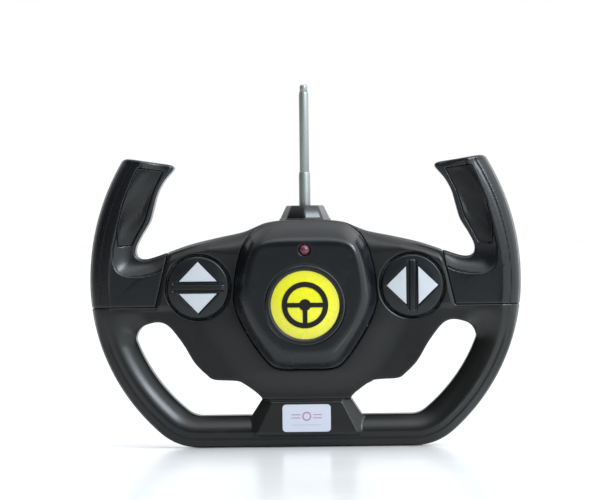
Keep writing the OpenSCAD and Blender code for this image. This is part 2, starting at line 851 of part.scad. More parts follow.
module antenna_lead() {
    color([0.15, 0.15, 0.16])
        lead([[6.6, 0.3, 72.5], [6.9, 1.2, 74], [6.6, 1.8, 76], [5.9, 1.7, 78], [5.1, 1.5, 79.6], [5.05, 1.4, 80.8]], 0.5);
}

// Faceted cap with a flange that the two shells clamp
module antenna_collar() {
    color([0.09, 0.09, 0.10])
        translate([0, ant_y, 0])
            difference() {
                union() {
                    hull() {
                        translate([0, 0, 97]) cylinder(r = 11.6, h = 3.4, $fn = 8);
                        translate([0, 0, 100.4]) cylinder(r = 10.4, h = 0.8, $fn = 8);
                    }
                    hull() {
                        translate([0, 0, 100.4]) cylinder(r = 10.2, h = 1.4, $fn = 8);
                        translate([0, 0, 105.8]) cylinder(r = 8.4, h = 0.4, $fn = 8);
                    }
                }
                translate([0, 0, 90]) cylinder(r = ant_r[0] + 0.05, h = 30, $fn = 48);
            }
}

module antenna_section_1() { color([0.72, 0.73, 0.74]) tube(0, 80, ant_1_top); }
module antenna_section_2() { color([0.74, 0.75, 0.76]) tube(1, ant_1_top - 4.5, ant_2_top); }
module antenna_section_3() { color([0.76, 0.77, 0.78]) tube(2, ant_1_top - 2, ant_2_top + 0.4); }
module antenna_section_4() {
    color([0.78, 0.79, 0.80])
        translate([0, ant_y, 0]) {
            translate([0, 0, ant_1_top]) cylinder(r = ant_r[3], h = ant_tip - ant_1_top - 2, $fn = 48);
            translate([0, 0, ant_2_top + 0.5]) cylinder(r = ant_r[2], h = ant_tip - ant_2_top - 0.5, $fn = 48);
        }
}

// ---- Fasteners ----

module screw_behind(s, depth) {
    pin_behind(s.x, s.y, head_r, s[2] - sink + 0.02, s[2] - sink + head_h);
    pin_behind(s.x, s.y, shank_r, -depth, s[2] - sink + 0.5);
}

module case_screws() {
    color([0.72, 0.72, 0.74])
        both_sides() {
            for (s = CASE_SCREWS)
                screw_behind(s, 7);
            screw_behind(COVER_SCREW, 2);
        }
}

module frame_screws() {
    color([0.72, 0.72, 0.74])
        both_sides()
            for (a = LUG_ANGLES)
                facing(lug(a).x, lug(a).y) {
                    translate([0, 0, 3]) cylinder(r = 2, h = 1.38, $fn = 32);
                    translate([0, 0, 4]) cylinder(r = 1, h = 5.5, $fn = 24);
                }
}

front_shell();
rear_shell();
left_grip_cover();
right_grip_cover();
left_grip_inlay();
right_grip_inlay();
pod_cover();
badge_bezel();
badge_disc();
badge_emblem();
status_led();
label_plate();
left_rocker();
forward_arrow();
reverse_arrow();
left_rocker_frame();
left_keypad();
right_rocker();
left_arrow();
right_arrow();
right_rocker_frame();
right_keypad();
main_board();
encoder_chip();
crystal();
rf_coils();
capacitors();
transistors();
resistors();
power_switch();
switch_knob();
switch_leads();
battery();
battery_snap();
red_lead();
black_lead();
battery_pad();
battery_door();
door_screw();
antenna_bracket();
antenna_lead();
antenna_collar();
antenna_section_1();
antenna_section_2();
antenna_section_3();
antenna_section_4();
case_screws();
frame_screws();
board_screws();
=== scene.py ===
"""Looks of a hand-held radio transmitter shaped like a racing wheel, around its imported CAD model.

Shapes are modelled in millimetres, in the CAD frame, as signed distance fields on a grid: negative
inside, and joined, cut and rounded by arithmetic. Each field is then meshed as one closed surface.
Round pieces are turned profiles. Metres come in only when a mesh is made.
"""

import math

import bpy
import numpy as np
import openvdb
from mathutils import Matrix, Vector


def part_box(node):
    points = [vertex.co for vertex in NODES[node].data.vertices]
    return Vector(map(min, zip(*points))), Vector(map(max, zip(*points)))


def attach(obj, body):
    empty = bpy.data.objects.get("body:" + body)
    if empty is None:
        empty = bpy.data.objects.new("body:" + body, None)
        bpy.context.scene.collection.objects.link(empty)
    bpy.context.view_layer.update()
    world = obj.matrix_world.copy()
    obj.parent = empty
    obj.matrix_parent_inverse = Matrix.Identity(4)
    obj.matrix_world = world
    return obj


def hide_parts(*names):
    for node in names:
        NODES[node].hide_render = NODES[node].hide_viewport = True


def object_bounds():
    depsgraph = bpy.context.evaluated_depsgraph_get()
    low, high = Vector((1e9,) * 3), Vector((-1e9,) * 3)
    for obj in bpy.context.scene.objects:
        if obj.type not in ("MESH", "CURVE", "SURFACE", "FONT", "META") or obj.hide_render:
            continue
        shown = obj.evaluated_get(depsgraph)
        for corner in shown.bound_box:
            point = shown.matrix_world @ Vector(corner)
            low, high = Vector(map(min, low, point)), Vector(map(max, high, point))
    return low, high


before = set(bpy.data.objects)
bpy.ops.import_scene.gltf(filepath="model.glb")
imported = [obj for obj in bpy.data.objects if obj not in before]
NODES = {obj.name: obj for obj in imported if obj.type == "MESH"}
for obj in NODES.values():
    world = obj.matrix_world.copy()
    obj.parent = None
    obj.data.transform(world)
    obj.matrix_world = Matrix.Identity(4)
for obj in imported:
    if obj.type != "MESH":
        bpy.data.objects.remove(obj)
CAD_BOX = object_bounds()
MM = 0.001
HOUSING = "housing"


def box_mm(node):
    lo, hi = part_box(node)
    return np.array(lo) / MM, np.array(hi) / MM


def centre_mm(node):
    lo, hi = box_mm(node)
    return (lo + hi) / 2


# ---- Sizes, in millimetres ----

HALF_W = CAD_BOX[1][0] / MM
WIDEST_Z = 73.4
RIM_R = 89.0
RIM_W = 15.5
HORN_R = 103.5
BAR_H = 14.0
SEAM_Z = 62.0
WALL = 2.0
GRIP_WALL = 3.2
HUB_FRONT = 13.0
WING_FRONT = 12.1
SWELL = 1.6
SADDLE_FALL = 4.0
PANEL_SLOPE = 0.36
HUB_REAR = 14.0
RIM_DEPTH = 11.0
HORN_DEPTH = 12.5
BOX_REAR = box_mm("battery_door")[1][1]
PAD_HOLE_R = 14.5
PAD_R = 13.7
PAD = {side: centre_mm(side + "_rocker") for side in ("left", "right")}
ARROW_SEAT = -box_mm("forward_arrow")[1][1] - 0.05
PIVOT = 8.0
BADGE = centre_mm("badge_disc")
LED = centre_mm("status_led")
LED_TIP = -box_mm("status_led")[0][1]
LABEL_LO, LABEL_HI = box_mm("label_plate")
SWITCH = centre_mm("power_switch")
ANT_Y = centre_mm("antenna_collar")[1]
POD_FRONT = -box_mm("pod_cover")[0][1]
CASE_SCREWS = [(84, 50, 11), (35, 7, 11), (13, 22, 14), (36, 86, 13.6), (84, 66, 11)]
SCREW_SINK = 2.5
SCREW_HEAD_R = 2.6
SCREW_HEAD_H = 1.6
HEAD_GAP = 0.4
POST_R = 3.2
PILOT_R = 1.6
LID_SCREW_Z = 60.4
CORNER_R = 26
INNER_CORNER_R = 10
HORN_TURN = 31.06
BAY_HALF, BAY_LOW, BAY_HIGH = 29.2, 28.2, 64.4
BADGE_RECESS_R = 17.6
LAMP_HOLE_R = 2.6
SLOT_HALF_W, SLOT_HALF_H = 5.3, 2.25
INLAY_DEPTH = 1.45
POCKET_HALF, POCKET_LOW, POCKET_TIP = 9.3, 2.4, 11.9
STEM_R = 9.4
PIN_R = 1.5
PIN_REACH = 13.6
PLUNGER_R = 2
PLUNGER_AT = 8.5

# Outlines of the right half, (x, z)
HUB_TOP = [
    (65.1, 84.6), (57.6, 87.2), (49.2, 89.9), (38, 92.5), (31, 93.9), (26.5, 95), (22.5, 96.6), (17, 98.8),
    (9, 99.8), (0, 99.9),
]
HUB_FOOT = [
    (74.9, 48.6), (73.8, 51.4), (71.3, 53.9), (66, 55.4), (62.4, 54.9), (59.6, 53), (56.6, 49.4),
    (53.2, 44.5), (48.9, 37.3), (43.8, 32.1), (40.3, 29.9), (31, 29.3), (27.6, 28.1), (22, 24.1),
    (19.4, 21.5),
]
HORN_INNER = [
    (59.8, 124.9), (57.9, 124.2), (57.6, 122.6), (61.8, 117.6), (64.8, 112), (66.6, 105.5), (68.4, 99.6),
    (71.9, 93.8), (74.4, 88.8), (74.5, 85.2), (72.6, 83.5), (69.4, 83.4),
]
POD_BASE = [
    (0, 100), (9, 99.8), (15.5, 98.9), (20.5, 96.6), (25.6, 91.5), (29.4, 82), (31.2, 70), (30.9, 62),
    (26.1, 51), (17.6, 38.5), (11.6, 34.6), (0, 34.2),
]
POD_FACE = [
    (0, 90), (13, 89.9), (19.6, 88.9), (22.6, 85.6), (24.7, 77), (25.4, 68), (24.2, 60), (19.8, 51),
    (13.2, 43.6), (7.6, 41), (0, 40.6),
]
INLAY = [
    (82.3, 89), (82.6, 97), (79.9, 108), (76.0, 117.5), (73.2, 123.4), (62.3, 122), (64.6, 117.5),
    (67.2, 112), (69, 106), (70.8, 100.2), (74.2, 94.2), (76.6, 89.5),
]
COVER_REGION = [(66, SEAM_Z), (60.4, 86), (50, 100), (50, 140), (110, 140), (110, SEAM_Z)]
LABEL_BAR = [(15.5, 19.6), (22.2, 6.2)]
SADDLE_LINE = [
    (70.5, 128), (76, 116), (78.9, 108.5), (81.6, 101), (83.4, 94), (84.9, 86.5), (84.0, 79.6), (80.6, 76.2),
    (74, 75.3), (65.5, 76.9), (59.5, 80.4),
]
RIDGE_DIR = (0.64, 0.77)
RIDGE_FIRST = 121.4
RIDGE_PITCH = 11.5

# Depth of the front against the distance from the outer edge, on the rim and on the wings and horns
RIM_T = [0, 0.7, 3.5, 4.2, 5.0, 6.2, 7.4, 8.8, 10.2, 11.4, 12.6, 14, 15.5, 40]
RIM_F = [7.6, 8.7, 9.8, 9.4, 10.3, 10.9, 10.75, 10.3, 9.6, 8.8, 7.8, 6.6, 5.2, 5.2]
WING_T = [0, 0.6, 2.2, 4.6, 5.0, 5.4, 8.8, 9.5, 60]
WING_F = [6.4, 7.9, 9.8, 11.3, 10.9, 11.4, 12.4, 12.1, 12.1]


# ---- Curves in the plane ----

def smooth(points, parts=6):
    """Catmull-Rom curve through the points."""
    p = np.array(points, dtype=float)
    p = np.vstack([2 * p[0] - p[1], p, 2 * p[-1] - p[-2]])
    t = np.linspace(0, 1, parts, endpoint=False)[:, None]
    rows = [
        0.5 * (2 * b + (c - a) * t + (2 * a - 5 * b + 4 * c - d) * t**2 + (3 * b - a - 3 * c + d) * t**3)
        for a, b, c, d in zip(p, p[1:], p[2:], p[3:])
    ]
    return [tuple(q) for q in np.vstack(rows)] + [tuple(p[-2])]


def arc(cx, cz, r, start, end, parts):
    return [
        (cx + r * math.cos(math.radians(a)), cz + r * math.sin(math.radians(a)))
        for a in np.linspace(start, end, parts)
    ]


def foot_corner(r, radius):
    """Centre of the arc that joins the foot's straight edge to the rim's arc of that radius."""
    z = r + (0 if radius == RIM_R else BAR_H)
    x = HALF_W - RIM_R + math.sqrt((radius - r) ** 2 - (WIDEST_Z - z) ** 2)
    return x, z, math.degrees(math.atan2(z - WIDEST_Z, x - HALF_W + RIM_R))


def outer_edge():
    x, z, turn = foot_corner(CORNER_R, RIM_R)
    return (
        [(0, 0)]
        + arc(x, z, CORNER_R, -90, turn, 9)
        + arc(HALF_W - RIM_R, WIDEST_Z, RIM_R, turn, 0, 24)[1:]
        + arc(HALF_W - HORN_R, WIDEST_Z, HORN_R, 0, HORN_TURN, 20)[1:]
    )


def opening():
    x, z, turn = foot_corner(INNER_CORNER_R, RIM_R - RIM_W)
    return (
        [(24.3, BAR_H)]
        + arc(x, z, INNER_CORNER_R, -90, turn, 8)
        + arc(HALF_W - RIM_R, WIDEST_Z, RIM_R - RIM_W, turn, -20.5, 16)[1:]
        + smooth(HUB_FOOT)
    )


def closed_left(outline):
    """A right-half outline from top to bottom, closed beyond the middle."""
    return outline + [(-30, outline[-1][1]), (-30, outline[0][1])]


OUTER_EDGE = outer_edge()
TOP_EDGE = smooth([OUTER_EDGE[-1], (77.4, 127.5), (68, 126.1), (59.8, 124.9)], 4)
INNER_EDGE = smooth(HORN_INNER + HUB_TOP)
OUTLINE = OUTER_EDGE + TOP_EDGE[1:] + INNER_EDGE[1:] + [(-40, HUB_TOP[-1][1]), (-40, 0)]
OPENING = opening()


# ---- Distance fields ----

class Grid:
    """Points of a box. x, y and z broadcast against each other, so a field of x and z stays flat."""

    def __init__(self, low, high, step):
        self.step = step
        self.low = np.array(low, dtype=float) + step / 2
        axes = []
        for i, (a, b) in enumerate(zip(low, high)):
            values = self.low[i] + step * np.arange(math.ceil((b - a) / step))
            axes.append(values.astype(np.float32).reshape([-1 if k == i else 1 for k in range(3)]))
        self.x, self.y, self.z = axes

    def mirrored(self):
        """The grid of a field made by mirrored_field."""
        both = Grid((0, 0, 0), (1, 1, 1), self.step)
        both.low = self.low.copy()
        both.low[0] = -self.low[0] - (self.x.size - 1) * self.step
        both.x = np.concatenate([-self.x[::-1], self.x])
        both.y, both.z = self.y, self.z
        return both

    def polyline(self, points):
        """Distance in the xz plane to an open line."""
        best = np.float32(1e9)
        for (ax, az), (bx, bz) in zip(points, points[1:]):
            ex, ez = bx - ax, bz - az
            wx, wz = self.x - ax, self.z - az
            t = np.clip((wx * ex + wz * ez) / max(ex * ex + ez * ez, 1e-9), 0, 1)
            best = np.minimum(best, (wx - ex * t) ** 2 + (wz - ez * t) ** 2)
        return np.sqrt(best).astype(np.float32)

    def polygon(self, outline):
        """Signed distance in the xz plane to a closed outline."""
        inside = np.zeros(np.broadcast_shapes(self.x.shape, self.z.shape), dtype=bool)
        for (ax, az), (bx, bz) in zip(outline, outline[1:] + outline[:1]):
            if az != bz:
                level = (self.z >= min(az, bz)) & (self.z < max(az, bz))
                inside ^= level & (self.x < ax + (self.z - az) * (bx - ax) / (bz - az))
        d = self.polyline(outline + outline[:1])
        return np.where(inside, -d, d)

    def disc(self, cx, cz, r):
        return np.hypot(self.x - cx, self.z - cz) - r

    def relief(self, depth, forward=1):
        """Distance to a surface that lies depth(x, z) along -y, or along +y where forward is -1."""
        gx, gz = np.gradient(depth[:, 0, :], self.step)
        steep = np.sqrt(1 + gx**2 + gz**2)[:, None, :]
        return ((-forward * self.y - depth) / steep).astype(np.float32)

    def box(self, low, high, r=0.0):
        """Signed distance to a box with edges of radius r."""
        q = [
            np.abs(a - (lo + hi) / 2) - ((hi - lo) / 2 - r)
            for a, lo, hi in zip((self.x, self.y, self.z), low, high)
        ]
        outside = np.sqrt(sum(np.maximum(v, 0) ** 2 for v in q))
        return outside + np.minimum(np.maximum(np.maximum(q[0], q[1]), q[2]), 0) - r

    def bore(self, x, z, r, low, high):
        """A round hole along y, from low to high."""
        return np.maximum(self.disc(x, z, r), np.abs(self.y - (low + high) / 2) - (high - low) / 2)


def cut(a, b, r=0.0):
    """What is in both a and b, with an edge of radius r where they meet."""
    if r <= 0:
        return np.maximum(a, b)
    edge = np.hypot(np.maximum(a + r, 0), np.maximum(b + r, 0))
    return np.minimum(np.maximum(a, b), -r) + edge


def join(a, b, r):
    """What is in a or in b, with a fillet of radius r."""
    return -cut(-a, -b, r)


def ease(t, low, high):
    """Smooth step from 0 at low to 1 at high."""
    s = np.clip((t - low) / (high - low), 0, 1)
    return s * s * (3 - 2 * s)


def eased_curve(t, xs, ys, soften):
    """A broken line with its corners eased over about twice soften."""
    return sum(np.interp(t + o, xs, ys) for o in (-soften, 0, soften)) / 3


def blurred(depth, reach):
    """A flat field of x and z, averaged over a square; x = 0 is a plane of symmetry."""
    flat = depth[:, 0, :]
    for _ in range(2):
        flat = np.vstack([flat[reach - 1::-1], flat, np.repeat(flat[-1:], reach, axis=0)])
        flat = np.mean([flat[k:len(flat) - 2 * reach + k] for k in range(2 * reach + 1)], axis=0)
        flat = np.pad(flat, ((0, 0), (reach, reach)), mode="edge")
        width = flat.shape[1] - 2 * reach
        flat = np.mean([flat[:, k:width + k] for k in range(2 * reach + 1)], axis=0)
    return flat[:, None, :]


def mirrored_field(field):
    """A field of the right half, with its mirror image on its left."""
    return np.concatenate([field[::-1], field], axis=0)


# ---- Meshes ----

def link_piece(name, mesh, material, body):
    piece = bpy.data.objects.new(name, mesh)
    bpy.context.scene.collection.objects.link(piece)
    mesh.materials.clear()
    mesh.materials.append(material)
    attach(piece, body)
    return piece


def raw_mesh(name, points, faces):
    """Mesh from arrays of points in metres and of faces that all have the same number of corners."""
    mesh = bpy.data.meshes.new(name)
    mesh.vertices.add(len(points))
    mesh.vertices.foreach_set("co", np.asarray(points, dtype=np.float32).ravel())
    mesh.loops.add(faces.size)
    mesh.loops.foreach_set("vertex_index", np.asarray(faces, dtype=np.int32).ravel())
    mesh.polygons.add(len(faces))
    starts = np.arange(0, faces.size, faces.shape[1], dtype=np.int32)
    mesh.polygons.foreach_set("loop_start", starts)
    mesh.update(calc_edges=True)
    mesh.polygons.foreach_set("use_smooth", np.ones(len(faces), dtype=bool))
    return mesh


def thinned(mesh, share):
    """The mesh with about that share of its faces, fewest where it is flat."""
    holder = bpy.data.objects.new("thinning", mesh)
    bpy.context.scene.collection.objects.link(holder)
    thin = holder.modifiers.new("thin", "DECIMATE")
    thin.ratio = share
    result = bpy.data.meshes.new_from_object(holder.evaluated_get(bpy.context.evaluated_depsgraph_get()))
    bpy.data.objects.remove(holder)
    name = mesh.name
    bpy.data.meshes.remove(mesh)
    result.name = name
    return result


def sampled(field, p):
    """Trilinear samples of a field at points given in its index units."""
    p = np.clip(p, 0, np.array(field.shape) - 1.001)
    i = p.astype(int)
    f = p - i
    total = 0
    for corner in np.ndindex(2, 2, 2):
        weight = np.prod([f[:, k] if corner[k] else 1 - f[:, k] for k in range(3)], axis=0)
        total = total + weight * field[i[:, 0] + corner[0], i[:, 1] + corner[1], i[:, 2] + corner[2]]
    return total


def field_normals(field, p):
    reach = 0.6
    n = np.stack([sampled(field, p + reach * a) - sampled(field, p - reach * a) for a in np.eye(3)], axis=1)
    return n / np.maximum(np.linalg.norm(n, axis=1, keepdims=True), 1e-9)


def field_piece(name, field, g, material, body=HOUSING, keep=1.0, place=None):
    """A piece from a field, shaded by the field's own normals. place is (rotation matrix, offset in mm)."""
    field = np.pad(np.asarray(field, dtype=np.float32), 1, constant_values=5.0)
    vdb = openvdb.FloatGrid()
    vdb.copyFromArray(np.ascontiguousarray(field))
    points, _, quads = vdb.convertToPolygons(isovalue=0.0, adaptivity=0.0)
    mesh = raw_mesh(name, points, np.asarray(quads))
    if keep < 1:
        mesh = thinned(mesh, keep)
    co = np.empty(len(mesh.vertices) * 3, dtype=np.float32)
    mesh.vertices.foreach_get("co", co)
    co = co.reshape(-1, 3).astype(float)
    normals = field_normals(field, co)
    world = (co - 1) * g.step + g.low
    if place is not None:
        turn, offset = place
        world, normals = world @ turn.T + offset, normals @ turn.T
    mesh.vertices.foreach_set("co", (world * MM).astype(np.float32).ravel())
    mesh.polygons.foreach_set("use_smooth", np.ones(len(mesh.polygons), dtype=bool))
    mesh.update()
    mesh.normals_split_custom_set_from_vertices(normals)
    return link_piece(name, mesh, material, body)


def turned(name, profile, centre, material, body=HOUSING, sides=64, axis="z", radius_of=None, sharp=40):
    """A turned piece. profile is (radius, height) going up the outside; it closes on itself round a bore."""
    points, faces = [], []
    angles = np.linspace(0, 2 * math.pi, sides, endpoint=False)
    solid = profile[0][0] == 0 and profile[-1][0] == 0
    rings = profile[1:-1] if solid else profile
    for r, h in rings:
        shape = radius_of(angles, r) if radius_of else np.full(sides, r)
        points += [(shape[i] * math.cos(a), shape[i] * math.sin(a), h) for i, a in enumerate(angles)]
    pairs = list(zip(range(len(rings)), range(1, len(rings)))) + ([] if solid else [(len(rings) - 1, 0)])
    for lower, upper in pairs:
        for i in range(sides):
            k = (i + 1) % sides
            faces.append((lower * sides + i, lower * sides + k, upper * sides + k, upper * sides + i))
    if solid:
        points += [(0, 0, profile[0][1]), (0, 0, profile[-1][1])]
        bottom, top = len(points) - 2, len(points) - 1
        last = (len(rings) - 1) * sides
        for i in range(sides):
            k = (i + 1) % sides
            faces += [(bottom, k, i), (top, last + i, last + k)]
    p = np.array(points)
    if axis == "-y":
        p = np.stack([p[:, 0], -p[:, 2], p[:, 1]], axis=1)
    elif axis == "y":
        p = np.stack([p[:, 0], p[:, 2], -p[:, 1]], axis=1)
    mesh = bpy.data.meshes.new(name)
    mesh.from_pydata([tuple(q) for q in (p + np.array(centre)) * MM], [], faces)
    mesh.polygons.foreach_set("use_smooth", [True] * len(mesh.polygons))
    mesh.update()
    mesh.set_sharp_from_angle(angle=math.radians(sharp))
    return link_piece(name, mesh, material, body)


# ---- Materials ----

def shader_tree(name):
    m = bpy.data.materials.new(name)
    m.use_nodes = True
    tree = m.node_tree
    tree.nodes.clear()
    out = tree.nodes.new("ShaderNodeOutputMaterial")
    shader = tree.nodes.new("ShaderNodeBsdfPrincipled")
    tree.links.new(shader.outputs[0], out.inputs["Surface"])
    return m, tree, shader


def add(tree, kind, inputs=None, **settings):
    """A node with its settings made and its inputs linked or set."""
    node = tree.nodes.new(kind)
    for key, value in settings.items():
        setattr(node, key, value)
    for key, value in (inputs or {}).items():
        if isinstance(value, bpy.types.NodeSocket):
            tree.links.new(value, node.inputs[key])
        else:
            node.inputs[key].default_value = value
    return node


def place_of(tree):
    return add(tree, "ShaderNodeTexCoord").outputs["Object"]


def noise(tree, scale, detail=4.0, rough=0.55, vector=None):
    where = vector or place_of(tree)
    made = add(
        tree, "ShaderNodeTexNoise", {"Vector": where, "Scale": scale, "Detail": detail, "Roughness": rough}
    )
    return made.outputs["Fac"]


def spread(tree, value, low, high, start=0.32, end=0.68):
    """Maps the part of a value between start and end to low..high."""
    inputs = {"Value": value, "From Min": start, "From Max": end, "To Min": low, "To Max": high}
    return add(tree, "ShaderNodeMapRange", inputs).outputs["Result"]


def tint(tree, factor, first, second):
    mix = add(tree, "ShaderNodeMix", data_type="RGBA")
    tree.links.new(factor, mix.inputs["Factor"])
    for key, colour in (("A", first), ("B", second)):
        if isinstance(colour, bpy.types.NodeSocket):
            tree.links.new(colour, mix.inputs[key])
        else:
            mix.inputs[key].default_value = (*colour, 1)
    return mix.outputs["Result"]


def math_node(tree, operation, a, b=0.0):
    return add(tree, "ShaderNodeMath", {0: a, 1: b}, operation=operation).outputs[0]


def bump(tree, shader, height, strength, distance=0.0002):
    made = add(tree, "ShaderNodeBump", {"Height": height, "Strength": strength, "Distance": distance})
    tree.links.new(made.outputs[0], shader.inputs["Normal"])


def edge_wear(tree, most=0.8):
    """Rubbing on the outer edges, broken up by noise: 0 on flats, up to most where the edge is sharp."""
    sharp = spread(tree, add(tree, "ShaderNodeNewGeometry").outputs["Pointiness"], 0, most, 0.52, 0.62)
    return math_node(tree, "MULTIPLY", sharp, spread(tree, noise(tree, 260, 4), 0.35, 1.0))


def plastic(name, colour, rubbed, roughness, grain, relief, specular=0.5, coat=0.0):
    """Moulded plastic: spark-eroded grain, cloudy gloss, faint rub marks, and edges worn by handling."""
    m, tree, s = shader_tree(name)
    marks = spread(tree, noise(tree, 170, 6, 0.7), 0, 0.5, 0.56, 0.72)
    worn = math_node(tree, "MAXIMUM", marks, edge_wear(tree))
    tree.links.new(tint(tree, worn, colour, rubbed), s.inputs["Base Color"])
    gloss = spread(tree, noise(tree, 55, 3), roughness[0], roughness[1])
    scuffed = math_node(tree, "ADD", gloss, math_node(tree, "MULTIPLY", marks, 0.08))
    tree.links.new(scuffed, s.inputs["Roughness"])
    s.inputs["Specular IOR Level"].default_value = specular
    s.inputs["Coat Weight"].default_value = coat
    bump(tree, s, noise(tree, grain, 2, 0.5), relief)
    return m


def metal(name, colour, roughness, scratch=(900, 900, 40), relief=0.05):
    """Plated metal with fine drawn lines."""
    m, tree, s = shader_tree(name)
    stretched = add(tree, "ShaderNodeMapping", {"Vector": place_of(tree), "Scale": scratch}).outputs[0]
    lines = noise(tree, 1.0, 3.0, vector=stretched)
    dull = tuple(0.8 * c for c in colour)
    bright = tuple(min(1.0, 1.2 * c) for c in colour)
    plated = tint(tree, noise(tree, 45, 3), colour, dull)
    tree.links.new(tint(tree, edge_wear(tree), plated, bright), s.inputs["Base Color"])
    tree.links.new(spread(tree, lines, *roughness), s.inputs["Roughness"])
    s.inputs["Metallic"].default_value = 1.0
    bump(tree, s, lines, relief, 0.0001)
    return m


def badge_paint():
    """Yellow print under a clear layer, with painted shade that darkens it towards its edge."""
    m, tree, s = shader_tree("badge_yellow")
    centre = tuple(c * MM for c in BADGE)
    away = add(tree, "ShaderNodeVectorMath", {0: place_of(tree), 1: centre}, operation="DISTANCE")
    # Painted shade: over the outer 5 mm the yellow darkens, as light falls off the rounded edge of a dome.
    edge = spread(tree, away.outputs["Value"], 0, 1, 0.0110, 0.0162)
    patch = tint(tree, noise(tree, 120, 3), (0.58, 0.56, 0.008), (0.62, 0.59, 0.014))
    tree.links.new(tint(tree, edge, patch, (0.52, 0.49, 0.04)), s.inputs["Base Color"])
    tree.links.new(spread(tree, noise(tree, 400, 2), 0.24, 0.34), s.inputs["Roughness"])
    s.inputs["Coat Weight"].default_value = 0.5
    s.inputs["Coat Roughness"].default_value = 0.08
    bump(tree, s, noise(tree, 900, 2), 0.03)
    return m


def label_print():
    """Pale plate with a generic mark: a rose ring between two pairs of lines, over a thin grey line."""
    m, tree, s = shader_tree("label_print")
    middle = tuple((LABEL_LO + LABEL_HI) / 2 * MM)
    local = add(tree, "ShaderNodeVectorMath", {0: place_of(tree), 1: middle}, operation="SUBTRACT")
    split = add(tree, "ShaderNodeSeparateXYZ", {0: local.outputs[0]}).outputs
    across, up = math_node(tree, "ABSOLUTE", split[0]), math_node(tree, "SUBTRACT", split[2], 0.0008)
    squares = [math_node(tree, "MULTIPLY", side, side) for side in (split[0], up)]
    ring = math_node(tree, "SQRT", math_node(tree, "ADD", *squares))
    band = math_node(tree, "COMPARE", ring, 0.0017)
    band.node.inputs[2].default_value = 0.00035
    side = math_node(tree, "COMPARE", across, 0.0048)
    side.node.inputs[2].default_value = 0.0020
    thin = math_node(tree, "COMPARE", math_node(tree, "ABSOLUTE", up), 0.0007)
    thin.node.inputs[2].default_value = 0.00022
    lines = math_node(tree, "MULTIPLY", side, thin)
    rule = math_node(tree, "COMPARE", split[2], -0.0030)
    rule.node.inputs[2].default_value = 0.00018
    rule = math_node(tree, "MULTIPLY", rule, math_node(tree, "LESS_THAN", across, 0.0062))
    mark = math_node(tree, "MAXIMUM", band, lines)
    pale = tint(tree, noise(tree, 80, 3), (0.43, 0.44, 0.51), (0.47, 0.48, 0.55))
    printed = tint(tree, math_node(tree, "MULTIPLY", mark, 0.9), pale, (0.33, 0.14, 0.23))
    ruled = tint(tree, math_node(tree, "MULTIPLY", rule, 0.6), printed, (0.25, 0.28, 0.42))
    tree.links.new(ruled, s.inputs["Base Color"])
    tree.links.new(spread(tree, noise(tree, 300, 2), 0.35, 0.5), s.inputs["Roughness"])
    bump(tree, s, noise(tree, 1200, 2), 0.04)
    return m


def lamp_lens():
    m, tree, s = shader_tree("lamp_red")
    red = tint(tree, noise(tree, 200, 2), (0.08, 0.010, 0.020), (0.12, 0.016, 0.032))
    tree.links.new(red, s.inputs["Base Color"])
    tree.links.new(spread(tree, noise(tree, 500, 2), 0.3, 0.4), s.inputs["Roughness"])
    s.inputs["Transmission Weight"].default_value = 0.25
    s.inputs["Coat Weight"].default_value = 0.15
    s.inputs["Coat Roughness"].default_value = 0.2
    return m


def arrow_paint():
    """Silver paint with metal flakes and a hair's breadth of wear."""
    m, tree, s = shader_tree("arrow_silver")
    flakes = noise(tree, 5200, 2, 0.6)
    patches = spread(tree, noise(tree, 140, 5), 0, 0.35, 0.55, 0.75)
    wear = math_node(tree, "MAXIMUM", patches, edge_wear(tree, 0.4))
    base = tint(tree, flakes, (0.40, 0.42, 0.45), (0.48, 0.50, 0.53))
    tree.links.new(tint(tree, wear, base, (0.34, 0.36, 0.39)), s.inputs["Base Color"])
    tree.links.new(spread(tree, flakes, 0.38, 0.52), s.inputs["Roughness"])
    s.inputs["Metallic"].default_value = 0.25
    bump(tree, s, flakes, 0.06)
    return m


def circuit_board():
    """Green solder mask over copper tracks, which show as slightly paler raised lines."""
    m, tree, s = shader_tree("board_green")
    grid = add(tree, "ShaderNodeMapping", {"Vector": place_of(tree), "Scale": (1, 0, 1)}).outputs[0]
    cells = add(
        tree, "ShaderNodeTexVoronoi", {"Vector": grid, "Scale": 300.0}, distance="MANHATTAN",
    ).outputs["Distance"]
    tracks = spread(tree, cells, 0, 1, 0.34, 0.38)
    tree.links.new(tint(tree, tracks, (0.012, 0.13, 0.05), (0.02, 0.24, 0.10)), s.inputs["Base Color"])
    tree.links.new(spread(tree, noise(tree, 90, 3), 0.25, 0.4), s.inputs["Roughness"])
    bump(tree, s, tracks, 0.3)
    return m


def banded(name, body, bands, axis, pitch, roughness):
    """A small part with printed bands along one axis."""
    m, tree, s = shader_tree(name)
    split = add(tree, "ShaderNodeSeparateXYZ", {0: place_of(tree)}).outputs
    wave = math_node(tree, "FRACT", math_node(tree, "DIVIDE", split[axis], pitch))
    stripe = math_node(tree, "LESS_THAN", wave, 0.22)
    base = tint(tree, noise(tree, 250, 3), body, tuple(0.85 * c for c in body))
    tree.links.new(tint(tree, stripe, base, bands), s.inputs["Base Color"])
    tree.links.new(spread(tree, noise(tree, 200, 3), *roughness), s.inputs["Roughness"])
    bump(tree, s, noise(tree, 1500, 2), 0.06)
    return m


